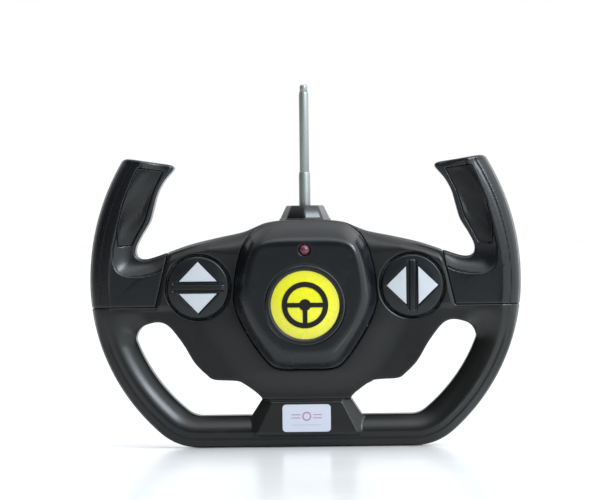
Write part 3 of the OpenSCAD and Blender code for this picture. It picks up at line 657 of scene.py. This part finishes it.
RUBBED = (0.008, 0.009, 0.010)
SHELL = plastic("shell_black", (0.0048, 0.0051, 0.0048), RUBBED, (0.28, 0.34), 2600, 0.10, 0.38)
GRIP = plastic("grip_black", (0.0036, 0.0043, 0.0052), RUBBED, (0.25, 0.31), 2200, 0.03, 0.40)
RUBBER = plastic("grip_rubber", (0.0035, 0.0037, 0.0040), RUBBED, (0.42, 0.52), 1500, 0.35, 0.30)
GLOSS = plastic("shield_gloss", (0.0030, 0.0038, 0.0050), RUBBED, (0.22, 0.28), 2800, 0.04, 0.42)
PAD_BLACK = plastic("pad_black", (0.0042, 0.0050, 0.0060), RUBBED, (0.28, 0.35), 2400, 0.08, 0.36)
PRINT_BLACK = plastic("emblem_black", (0.004, 0.004, 0.003), RUBBED, (0.30, 0.42), 1800, 0.05, 0.25)
TUBE = metal("antenna_metal", (0.30, 0.32, 0.31), (0.48, 0.60))
STEEL = metal("screw_steel", (0.52, 0.52, 0.54), (0.25, 0.4), (300, 300, 300))
TIN = metal("tinned_can", (0.66, 0.66, 0.64), (0.25, 0.42), (250, 60, 250))
BRASS = metal("bracket_brass", (0.70, 0.52, 0.22), (0.28, 0.42), (200, 200, 60))

CAD_FINISH = {
    "badge_bezel": GLOSS,
    "badge_emblem": PRINT_BLACK,
    "label_plate": label_print(),
    "main_board": circuit_board(),
    "crystal": TIN, "rf_coils": TIN, "power_switch": TIN, "switch_leads": TIN,
    "antenna_bracket": BRASS,
    "frame_screws": STEEL, "board_screws": STEEL,
    "capacitors": banded("capacitor_sleeve", (0.02, 0.04, 0.20), (0.55, 0.57, 0.62), 0, 0.0031, (0.25, 0.35)),
    "resistors": banded("resistor_body", (0.62, 0.44, 0.24), (0.25, 0.03, 0.02), 2, 0.0021, (0.3, 0.4)),
    "battery": banded("battery_jacket", (0.05, 0.06, 0.09), (0.40, 0.41, 0.43), 0, 0.060, (0.2, 0.3)),
}
LEADS = {"red_lead": (0.42, 0.012, 0.012), "black_lead": (0.01,) * 3, "antenna_lead": (0.012,) * 3}
ARROWS = arrow_paint()
for arrow in ("forward_arrow", "reverse_arrow", "left_arrow", "right_arrow"):
    CAD_FINISH[arrow] = ARROWS
for chip in ("encoder_chip", "transistors", "battery_snap"):
    CAD_FINISH[chip] = plastic(chip + "_epoxy", (0.012,) * 3, (0.03,) * 3, (0.45, 0.6), 1800, 0.2, 0.4)
for grey in ("left_rocker_frame", "right_rocker_frame"):
    CAD_FINISH[grey] = plastic(grey + "_nylon", (0.18,) * 3, (0.25,) * 3, (0.4, 0.55), 1500, 0.15, 0.45)
for soft in ("left_keypad", "right_keypad", "battery_pad"):
    CAD_FINISH[soft] = plastic(soft + "_rubber", (0.14,) * 3, (0.2,) * 3, (0.65, 0.8), 1200, 0.4, 0.3)
for wire, colour in LEADS.items():
    faded = tuple(1.3 * c for c in colour)
    CAD_FINISH[wire] = plastic(wire + "_sleeve", colour, faded, (0.35, 0.45), 1500, 0.1, 0.45)


# ---- The wheel's outer form ----

def wheel_planes(g):
    """Fields in the plane that the wheel's pieces share: silhouette, front and rear depth, cover region."""
    t, inner = g.polyline(OUTER_EDGE), g.polyline(INNER_EDGE)
    hole, cover = g.polygon(OPENING), g.polygon(COVER_REGION)
    bands = outer_bands(g, t)
    hub = hub_front(g, inner, cover)
    low = rim_front(g, t, np.minimum(bands, hub), hub, hole)
    front = np.where(cover < 0, wing_front(g, t, inner, bands), low)
    front = with_label_bar(g, t, front)
    rear = rear_depth(g, np.minimum(np.minimum(t, np.abs(hole)), inner))
    return {
        "outline": g.polygon(OUTLINE), "hole": hole, "front": front.astype(np.float32),
        "rear": rear.astype(np.float32), "cover": cover.astype(np.float32),
    }


def outer_bands(g, t):
    """The stepped bands along the outer edge, a little narrower below the horns."""
    narrow = 1 + 0.08 * (1 - ease(g.z, 66, 100))
    return eased_curve(t * narrow, WING_T, WING_F, 0.22)


def hub_front(g, inner, cover):
    """The hub, rolled over towards its top edge, and stepping down to the wings."""
    x, z = g.x, g.z
    roll_w = np.interp(x, [24, 42, 80], [11, 5, 4.5])
    q = np.clip(1 - inner / roll_w, 0, 1)
    step = HUB_FRONT - WING_FRONT
    above_seam = ease(z, 60, 63)
    step_down = step * (1 - ease(cover, 0.1, 1.7)) * above_seam
    step_down = step_down + step * ease(x, 50, 70) * (1 - above_seam)
    hub = HUB_FRONT - np.clip(step_down, 0, step) - 1.1 * q - 3.4 * q**2.4
    return hub + SWELL * swell_of(g)


def wing_front(g, t, inner, bands):
    """Wings and horns: the bands, and a hollow that falls towards the crotch beyond the saddle line."""
    line = smooth(SADDLE_LINE)
    beyond = g.polygon(line + [(40, 96), (40, 140), (70, 140)])
    saddle = g.polyline(line)
    q = np.where(beyond < 0, saddle / (saddle + inner + 1e-3), 0)
    wing = bands - 0.3 * ease(q, 0, 0.06) - SADDLE_FALL * (1 - (1 - q) ** 2)
    panel = np.clip(t - 9.3, 0, 30) * ease(g.z, 86, 98)
    return np.where(beyond < 0, np.minimum(wing, bands - PANEL_SLOPE * panel), wing)


def rim_front(g, t, flat, hub, hole):
    """The rim, a crown inside a flat outer band, running into the hub above and in the middle."""
    x, z = g.x, g.z
    crown = eased_curve(t, RIM_T, RIM_F, 0.3)
    rim = crown + (flat - crown) * ease(z, 44, 60)
    in_hub = np.where(x < 24, ease(z, 14.5, 19), 1.0) * (hole > -1) * np.where(z > 18, 1.0, 0.0)
    toward_hub = np.where(x < 52, in_hub, ease(t, 15.5, 24))
    return rim + (hub - rim) * np.clip(toward_hub, 0, 1)


def with_label_bar(g, t, front):
    """The front with the block at the foot that carries the label."""
    (_, high), (_, low) = LABEL_BAR
    bar = g.polygon(closed_left(LABEL_BAR))
    block = HUB_FRONT + 0.25 - np.where(g.z < low, 1.6, 0.95) * np.maximum(bar, 0)
    block = block - 0.03 * (high - g.z)
    crown = eased_curve(t, RIM_T, RIM_F, 0.3)
    return np.where((g.z < 21) & (g.x < 27.5), np.maximum(np.where(g.z > 17, 0, crown), block), front)


def rear_depth(g, edge):
    """The rear, highest in the middle, rounded off over the last millimetres before an edge."""
    x, z = g.x, g.z
    plateau = np.interp(x, [45, 80], [HUB_REAR, RIM_DEPTH])
    plateau = plateau + (HORN_DEPTH - RIM_DEPTH) * ease(z, 66, 84) * ease(x, 60, 76)
    hubward = np.maximum(ease(z, 18, 28), 1 - ease(x, 20, 26))
    q = np.clip(1 - edge / 6.5, 0, 1)
    return RIM_DEPTH + (plateau - RIM_DEPTH) * hubward - 4.6 * q**2.2


def swell_of(g):
    """How much of its swelling the hub has: none far from the lower part of the shield, all beside it."""
    away = g.polygon(closed_left(smooth(POD_BASE)))
    return (1 - ease(away, 0, 16)) * (1 - ease(g.z, 50, 84)) * ease(g.z, 22, 34)


def wheel_form(g, planes):
    """The whole wheel as one solid, without the shield, pads and battery box."""
    thickness = cut(g.relief(planes["front"]), g.relief(planes["rear"], -1), 0.4)
    return cut(cut(thickness, planes["outline"], 1.1), -planes["hole"], 0.45)


def front_shell(g, form, planes):
    field = cut(form, -form - WALL, 0.3)
    field = cut(field, g.y + 0.03, 0.3)
    field = cut(field, 0.01 - planes["cover"], 0.25)
    window = np.maximum(g.polygon(closed_left(smooth(POD_BASE))) - 0.1, g.y + 5)
    field = cut(field, -window, 0.15)
    well = np.maximum(g.disc(PAD["right"][0], PAD["right"][2], PAD_HOLE_R), g.y + 9)
    field = cut(field, -well, 0.6)
    x, z0, z1 = LABEL_HI[0] + 0.2, LABEL_LO[2] - 0.2, LABEL_HI[2] + 0.2
    return cut(field, -g.box((-x, -40, z0), (x, LABEL_HI[1], z1), 1.7), 0.25)


def rear_shell(g, form, planes):
    door_lo, door_hi = box_mm("battery_door")
    bay = g.box((-BAY_HALF, -5, BAY_LOW), (BAY_HALF, BOX_REAR, BAY_HIGH), 2.2)
    outer = join(form, bay, 2.0)
    side, low, high = BAY_HALF - WALL, BAY_LOW + WALL, BAY_HIGH - WALL
    inner = np.minimum(form + WALL, g.box((-side, -6, low), (side, BOX_REAR - WALL, high), 0.4))
    field = cut(outer, -inner, 0.3)
    tray = g.box((-26.4, 0.2, 29.9), (26.4, BOX_REAR - 0.5, 59.1), 0.6)
    field = np.minimum(field, np.maximum(tray, outer))
    for x, z, rear in CASE_SCREWS[:4]:
        post = np.maximum(g.disc(x, z, POST_R), form + 0.5)
        field = np.minimum(field, np.maximum(post, g.y - rear + SCREW_SINK))
    field = cut(field, 0.03 - g.y, 0.3)
    field = cut(field, 0.01 - planes["cover"], 0.25)
    field = cut(field, -g.box((-25.2, 1.4, 31.2), (25.2, 60, 57.9), 0.4), 0.3)
    way_in = g.box((-27.3, BOX_REAR - 2.1, door_lo[2] - 0.2), (27.3, 60, door_hi[2] + 0.3), 0.4)
    field = cut(field, -way_in, 0.3)
    for x, z, rear in CASE_SCREWS[:4]:
        field = cut(field, -g.bore(x, z, SCREW_HEAD_R + HEAD_GAP, rear - SCREW_SINK, 60), 0.4)
        field = cut(field, -g.bore(x, z, PILOT_R, -2, 60))
    field = cut(field, -g.bore(0, LID_SCREW_Z, 1.4, 8, 60))
    return cut(field, -np.maximum(np.hypot(g.x, g.y - ANT_Y) - 2.7, SEAM_Z - g.z), 0.3)


def grip_cover(g, form, planes):
    field = cut(form, -form - GRIP_WALL, 0.3)
    field = cut(field, planes["cover"] + 0.01, 0.25)
    field = cut(field, -np.maximum(g.polygon(INLAY), -g.relief(planes["front"] - 1.5)), 0.2)
    x, z, rear = CASE_SCREWS[4]
    return cut(field, -g.bore(x, z, SCREW_HEAD_R + HEAD_GAP, rear - SCREW_SINK, 60), 0.4)


def inlay_field(g, planes):
    """Finger panel: scallops between slanting ridges, sunk a little below the cover."""
    edge = g.polygon(INLAY) + 0.02
    along = RIDGE_DIR[0] * g.x + RIDGE_DIR[1] * g.z
    scallop = np.sin(math.pi * (along - RIDGE_FIRST) / RIDGE_PITCH) ** 2
    lip = np.clip(1 + edge / 2.2, 0, 1)
    top = blurred(planes["front"], 3) - 0.15 - 0.95 * scallop * (1 - lip**2)
    field = cut(g.relief(top.astype(np.float32)), edge, 0.25)
    return cut(field, -g.relief(planes["front"] - INLAY_DEPTH), 0.2)


def build_shells():
    step = 0.6
    g = Grid((0, -24, -1.2), (96.6, 24, 128), step)
    planes = wheel_planes(g)
    form = wheel_form(g, planes)
    both = g.mirrored()
    keep = 0.45
    front = mirrored_field(front_shell(g, form, planes))
    piece = field_piece("front_moulding", front, both, SHELL, keep=keep)
    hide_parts("front_shell")
    rear = mirrored_field(rear_shell(g, form, planes))
    x, z = SWITCH[0], SWITCH[2]
    slot_low, slot_high = (x - SLOT_HALF_W, 9, z - SLOT_HALF_H), (x + SLOT_HALF_W, 18, z + SLOT_HALF_H)
    slot = both.box(slot_low, slot_high, 0.4)
    piece = field_piece("rear_moulding", cut(rear, -slot, 0.3), both, SHELL, keep=keep)
    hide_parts("rear_shell")
    cover = grip_cover(g, form, planes)
    piece = field_piece("right_grip_moulding", cover, g, GRIP, keep=keep)
    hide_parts("right_grip_cover")
    left = Grid((0, 0, 0), (1, 1, 1), step)
    left.low = both.low
    piece = field_piece("left_grip_moulding", cover[::-1], left, GRIP, keep=keep)
    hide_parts("left_grip_cover")

    fine = 0.35
    g = Grid((60, -14.5, 86), (86, -4, 126), fine)
    inlay = inlay_field(g, wheel_planes(g))
    piece = field_piece("right_finger_panel", inlay, g, RUBBER)
    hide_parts("right_grip_inlay")
    piece = field_piece("left_finger_panel", inlay[::-1], g, RUBBER,
                        place=(np.eye(3), np.array([-(2 * g.low[0] + (g.x.size - 1) * g.step), 0, 0])))
    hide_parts("left_grip_inlay")


# ---- Shield ----

def build_shield():
    step = 0.38
    g = Grid((0, -23.2, 32.5), (33, -1, 101.5), step)
    base = g.polygon(closed_left(smooth(POD_BASE)))
    face = g.polygon(closed_left(smooth(POD_FACE)))
    out = np.maximum(face, 0)
    q = np.clip(out / (out + np.maximum(-base, 0) + 1e-3), 0, 1)
    drop = POD_FRONT - HUB_FRONT
    depth = POD_FRONT - (drop - SWELL * swell_of(g)) * (0.42 * q + 0.58 * q**2) - 0.02
    depth = blurred(depth, 3)
    solid = cut(cut(g.relief(depth.astype(np.float32)), base, 0.2), g.y + 9.4, 0.3)
    field = cut(solid, -solid - WALL, 0.3)
    recess = np.maximum(g.disc(BADGE[0], BADGE[2], BADGE_RECESS_R), g.y + POD_FRONT - 1.5)
    field = cut(field, -recess, 0.35)
    field = cut(field, -np.maximum(g.disc(LED[0], LED[2], LAMP_HOLE_R), g.y + 15), 0.35)
    piece = field_piece("shield_moulding", mirrored_field(field), g.mirrored(), GLOSS, keep=0.5)
    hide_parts("pod_cover")


def build_badge():
    front = -box_mm("badge_disc")[0][1]
    back = -box_mm("badge_disc")[1][1]
    r = (box_mm("badge_disc")[1][0] - box_mm("badge_disc")[0][0]) / 2
    rolled = [(r, front - 0.5), (r - 0.15, front - 0.15), (r - 0.5, front - 0.01)]
    profile = [(0, back), (r, back)] + rolled + [(0, front)]
    at = (BADGE[0], 0, BADGE[2])
    piece = turned("badge_face", profile, at, badge_paint(), axis="-y", sides=96)
    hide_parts("badge_disc")
    dome = [(2.5 * math.cos(a), LED_TIP - 2.5 + 2.5 * math.sin(a)) for a in np.linspace(0.15, math.pi / 2, 9)]
    back = -box_mm("status_led")[1][1]
    base = [(0, back), (0.3, back), (0.3, 18.6), (2.9, 18.6), (2.9, 19.5), (2.5, 19.6)]
    at = (LED[0], 0, LED[2])
    profile = base + dome[:-1] + [(0, LED_TIP)]
    piece = turned("lamp_lens", profile, at, lamp_lens(), axis="-y", sides=40)
    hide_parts("status_led")


# ---- Rocker pads ----

def rocker_field(g):
    """A pad with its tilting axis along x: domed face, arrow pockets, and a bar between two grooves."""
    r = np.hypot(g.x, g.z)
    face = np.interp(r, [0, 5, 10, 13, PAD_R], [15.2, 15.08, 14.7, 14.2, 13.7])
    across, near = np.abs(g.z), 1 - ease(r, 10.6, 11.6)
    bar = 0.22 * (1 - ease(across, 0.9, 1.2))
    grooves = 0.6 * ease(across, 1.1, 1.35) * (1 - ease(across, 1.85, 2.15))
    face = face + near * (bar - grooves)
    field = cut(g.relief(face.astype(np.float32)), r - PAD_R, 0.7)
    field = cut(field, g.y + 11, 0.3)
    for sign in (1, -1):
        low = sign * POCKET_LOW
        pocket = g.polygon([(-POCKET_HALF, low), (POCKET_HALF, low), (0, sign * POCKET_TIP)])
        field = cut(field, -np.maximum(pocket, g.y + ARROW_SEAT), 0.15)
    stem = np.maximum(r - STEM_R, np.abs(g.y + 9.1) - 2.3)
    pins = np.maximum(np.hypot(g.y + PIVOT, g.z) - PIN_R, np.abs(g.x) - PIN_REACH)
    field = np.minimum(np.minimum(field, stem), pins)
    for sign in (1, -1):
        plunger = g.disc(0, sign * PLUNGER_AT, PLUNGER_R)
        field = np.minimum(field, np.maximum(plunger, np.abs(g.y + 8.5) - 2.6))
    return field


def build_rockers():
    step = 0.25
    g = Grid((-14.2, -15.9, -14.2), (14.2, -5.4, 14.2), step)
    field = rocker_field(g)
    quarter = np.array([[0, 0, -1], [0, 1, 0], [1, 0, 0]], dtype=float)
    for side, turn in (("left", np.eye(3)), ("right", quarter)):
        at = np.array([PAD[side][0], 0, PAD[side][2]])
        piece = field_piece(
            side + "_pad", field, g, PAD_BLACK, side + "_rocker", keep=0.5, place=(turn, at)
        )
        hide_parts(side + "_rocker")


# ---- Antenna ----

def soft_octagon(angles, r):
    """Radii of an octagon with a corner at the front and slightly rounded corners."""
    faces = (np.arange(8) + 0.5) * math.pi / 4
    hold = np.maximum(np.cos(angles[:, None] - faces[None, :]), 1e-6) ** 70
    return r * math.cos(math.pi / 8) / hold.sum(axis=1) ** (1 / 70)


def build_antenna():
    lo, hi = box_mm("antenna_collar")
    low, top = lo[2], hi[2]
    profile = [
        (2.56, low), (11.5, low), (11.5, low + 3.2), (11.2, low + 3.6), (10.8, low + 3.65),
        (10.75, low + 4.1),
        (8.5, top - 0.5), (8.1, top - 0.1), (7.8, top), (4.2, top), (3.5, top - 0.5), (2.56, top - 0.5),
    ]

    def outline(angles, r):
        return np.full(len(angles), r) if r < 5 else soft_octagon(angles, r)

    at = (0, ANT_Y, 0)
    piece = turned("collar_cap", profile, at, GLOSS, sides=96, radius_of=outline, sharp=28)
    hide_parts("antenna_collar")

    walls = [(2.5, 2.18), (2.1, 1.78), (1.7, 1.38)]
    bodies = [HOUSING, "antenna_tube_2", "antenna_tube_3"]
    for i, ((r, bore), body) in enumerate(zip(walls, bodies), 1):
        node = f"antenna_section_{i}"
        lo, hi = box_mm(node)
        low, top = lo[2], hi[2]
        profile = [
            (bore, low), (r - 0.1, low), (r, low + 0.15), (r, top - 1.3), (r - 0.06, top - 1.0),
            (r - 0.12, top - 0.35), (r - 0.2, top - 0.06), (r - 0.26, top), (bore + 0.02, top),
        ]
        piece = turned(f"antenna_tube_{i}_drawn", profile, at, TUBE, body, sharp=50)
        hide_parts(node)
    lo, hi = box_mm("antenna_section_4")
    low, top, knob = lo[2], hi[2], hi[2] - 3.1
    profile = [
        (0, low), (1.3, low), (1.3, knob), (1.55, knob + 0.02), (1.7, knob + 0.2), (1.7, top - 0.7),
        (1.55, top - 0.3), (1.2, top - 0.06), (0.8, top), (0, top),
    ]
    piece = turned("antenna_rod_drawn", profile, at, TUBE, "antenna_rod", sharp=50)
    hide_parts("antenna_section_4")


# ---- Back: door, screws, switch ----

def build_door():
    lo, hi = box_mm("battery_door")
    step = 0.32
    g = Grid((lo[0] - 0.6, lo[1] - 0.8, lo[2] - 0.6), (hi[0] + 0.6, hi[1] + 0.8, hi[2] + 0.6), step)
    half = hi[0] - 1
    field = g.box((-half, BOX_REAR - 2, lo[2] + 0.3), (half, BOX_REAR, hi[2]), 0.5)
    pin = np.hypot(g.y - BOX_REAR + 1, g.z - lo[2] - 1)
    field = np.minimum(field, np.maximum(pin - 1, np.abs(g.x) - half))
    field = np.minimum(field, np.maximum(pin - 0.8, np.abs(g.x) - half - 1))
    for k in range(6):
        rib = g.box((-9, BOX_REAR - 0.55, hi[2] - 9.2 - 1.9 * k), (9, 40, hi[2] - 8.3 - 1.9 * k), 0.2)
        field = cut(field, -rib, 0.15)
    arrow = g.polygon([(-5, lo[2] + 9.5), (5, lo[2] + 9.5), (0, lo[2] + 4.5)])
    field = cut(field, -np.maximum(arrow, BOX_REAR - 0.5 - g.y), 0.2)
    field = cut(field, -g.bore(0, LID_SCREW_Z, 1.5, 0, 60))
    field = cut(field, -g.bore(0, LID_SCREW_Z, 2.8, BOX_REAR - 1.25, 60), 0.2)
    piece = field_piece("battery_lid", field, g, SHELL, "battery_door", keep=0.4)
    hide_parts("battery_door")


def screw_field(g, head_r, shank_r, head, length):
    """A pan-head screw with a cross recess, its head towards +y from y = 0."""
    r = np.hypot(g.x, g.z)
    crown = head - 0.35 * (r / head_r) ** 2
    field = np.maximum(np.maximum(r - head_r, g.y - crown), -g.y)
    field = np.minimum(field, np.maximum(r - shank_r, np.abs(g.y + length / 2) - length / 2 - 0.1))
    x, z, reach = np.abs(g.x), np.abs(g.z), 0.62 * head_r
    cross = np.minimum(np.maximum(x - 0.42, z - reach), np.maximum(z - 0.42, x - reach))
    return cut(field, -np.maximum(cross, head - 1.1 - g.y), 0.1)


def screw_set(name, nodes, head_r, shank_r, places, body):
    """The screws that replace a node, each at (x, seat, z, head height, length below the seat)."""
    for n, (x, seat, z, head, length) in enumerate(places):
        step = 0.17
        side = head_r + 0.4
        g = Grid((-side, -length - 0.6, -side), (side, head + 0.5, side), step)
        field = screw_field(g, head_r, shank_r, head, length)
        a = 0.4 + 1.1 * n
        turn = np.array([[math.cos(a), 0, math.sin(a)], [0, 1, 0], [-math.sin(a), 0, math.cos(a)]])
        piece = field_piece(f"{name}_{n + 1}", field, g, STEEL, body, keep=0.35,
                            place=(turn, np.array([x, seat, z])))
        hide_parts(nodes)


def build_screws():
    places = []
    for i, (x, z, rear) in enumerate(CASE_SCREWS):
        seat = rear - SCREW_SINK + 0.02
        length = seat + (2 if i == 4 else 7)
        places += [(s * x, seat, z, SCREW_HEAD_H - 0.02, length) for s in (1, -1)]
    screw_set("case_screw", "case_screws", SCREW_HEAD_R, 1.3, places, HOUSING)
    lo, hi = box_mm("door_screw")
    seat = BOX_REAR - 1.2
    places = [(0, seat, LID_SCREW_Z, hi[1] - seat, 1.3)]
    screw_set("lid_screw", "door_screw", 2.4, 1.2, places, "battery_door")


def build_knob():
    lo, hi = box_mm("switch_knob")
    step = 0.16
    g = Grid(lo - 0.5, hi + 0.5, step)
    field = g.box(lo, (hi[0], hi[1] - 0.9, hi[2]), 0.3)
    for k in range(4):
        x = lo[0] + 1.2 * k
        field = join(field, g.box((x, lo[1] + 4, lo[2]), (x + 0.8, hi[1], hi[2]), 0.28), 0.15)
    piece = field_piece("slide_knob", field, g, PAD_BLACK, "switch_knob", keep=0.5)
    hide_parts("switch_knob")


# ---- Studio ----

VIEW_W = 261.222 * MM
CAM_TARGET = (-4.3316 * MM, 0, 86.5436 * MM)
CAM_DISTANCE = 2.2
CAM_ELEVATION = math.radians(0.3)
CAM_AZIMUTH = math.radians(1.2)
CAM_ROLL = math.radians(0.68)


def build_camera():
    back = Vector((0, -math.cos(CAM_ELEVATION), math.sin(CAM_ELEVATION)))
    back.rotate(Matrix.Rotation(CAM_AZIMUTH, 3, "Z"))
    data = bpy.data.cameras.new("camera")
    data.sensor_width = 36
    data.lens = 36 * CAM_DISTANCE / VIEW_W
    data.clip_end = 100
    cam = bpy.data.objects.new("camera", data)
    bpy.context.scene.collection.objects.link(cam)
    turn = (-back).to_track_quat("-Z", "Y").to_matrix().to_4x4() @ Matrix.Rotation(-CAM_ROLL, 4, "Z")
    place = Vector(CAM_TARGET) + back * CAM_DISTANCE
    cam.matrix_world = Matrix.Translation(place) @ turn
    bpy.context.scene.camera = cam


def lamp(name, place, aim, size, watts, colour=(1, 1, 1)):
    data = bpy.data.lights.new(name, "AREA")
    data.shape = "RECTANGLE"
    data.size, data.size_y = size
    data.energy = watts
    data.color = colour
    made = bpy.data.objects.new(name, data)
    bpy.context.scene.collection.objects.link(made)
    made.location = place
    made.rotation_euler = (Vector(aim) - Vector(place)).to_track_quat("-Z", "Y").to_euler()


def build_world():
    """A white tent: dark where the camera stands, bright behind and above, brightest on the right."""
    world = bpy.data.worlds.new("studio")
    world.use_nodes = True
    tree = world.node_tree
    tent = tree.nodes["Background"]
    aimed = add(tree, "ShaderNodeTexCoord").outputs["Generated"]
    split = add(tree, "ShaderNodeSeparateXYZ", {0: aimed}).outputs
    glow = spread(tree, split[1], 0.10, 1.08, -0.5, 0.6)
    glow = math_node(tree, "ADD", glow, spread(tree, split[0], 0.0, 1.5, 0.25, 0.55))
    glow = math_node(tree, "ADD", glow, spread(tree, split[0], -0.25, 0.0, -0.9, -0.4))
    glow = math_node(tree, "ADD", glow, spread(tree, split[2], 0.0, 0.75, 0.35, 0.95))
    tree.links.new(math_node(tree, "MAXIMUM", glow, 0.1), tent.inputs["Strength"])
    tent.inputs["Color"].default_value = (0.95, 0.98, 1.0, 1)
    white = add(tree, "ShaderNodeBackground", {"Color": (1, 1, 1, 1), "Strength": 1.0})
    seen = add(tree, "ShaderNodeLightPath").outputs["Is Camera Ray"]
    mix = add(tree, "ShaderNodeMixShader", {0: seen, 1: tent.outputs[0], 2: white.outputs[0]})
    tree.links.new(mix.outputs[0], tree.nodes["World Output"].inputs["Surface"])
    bpy.context.scene.world = world


def build_studio():
    scene = bpy.context.scene
    scene.view_settings.view_transform = "Standard"
    scene.view_settings.look = "None"
    build_world()

    m, tree, s = shader_tree("pale_floor")
    pale = tint(tree, noise(tree, 3, 3), (0.74,) * 3, (0.76,) * 3)
    tree.links.new(pale, s.inputs["Base Color"])
    tree.links.new(spread(tree, noise(tree, 8, 3), 0.18, 0.20), s.inputs["Roughness"])
    s.inputs["Specular IOR Level"].default_value = 0.6
    r, z = 20.0, CAD_BOX[0][2] - 0.0002
    mesh = bpy.data.meshes.new("floor")
    mesh.from_pydata([(-r, -r, z), (r, -r, z), (r, r, z), (-r, r, z)], [], [(0, 1, 2, 3)])
    mesh.materials.append(m)
    floor = bpy.data.objects.new("floor", mesh)
    scene.collection.objects.link(floor)

    sun = bpy.data.lights.new("sky", "SUN")
    sun.energy = 0.8
    sun.angle = math.radians(70)
    over = bpy.data.objects.new("sky", sun)
    scene.collection.objects.link(over)
    over.rotation_euler = (math.radians(18), math.radians(14), 0)

    aim = (0, 0, 0.07)
    lamp("key", (0.73, -0.79, 0.73), aim, (0.42, 0.50), 14, (0.80, 0.91, 1.0))
    lamp("side", (1.25, -0.12, 0.40), aim, (0.5, 0.8), 0.8, (0.86, 0.94, 1.0))
    lamp("top", (0.15, -0.62, 0.85), aim, (0.9, 0.35), 2, (0.88, 0.95, 1.0))


build_shells()
build_shield()
build_badge()
build_rockers()
build_antenna()
build_door()
build_screws()
build_knob()
for node, material in CAD_FINISH.items():
    NODES[node].data.materials.clear()
    NODES[node].data.materials.append(material)
build_camera()
build_studio()
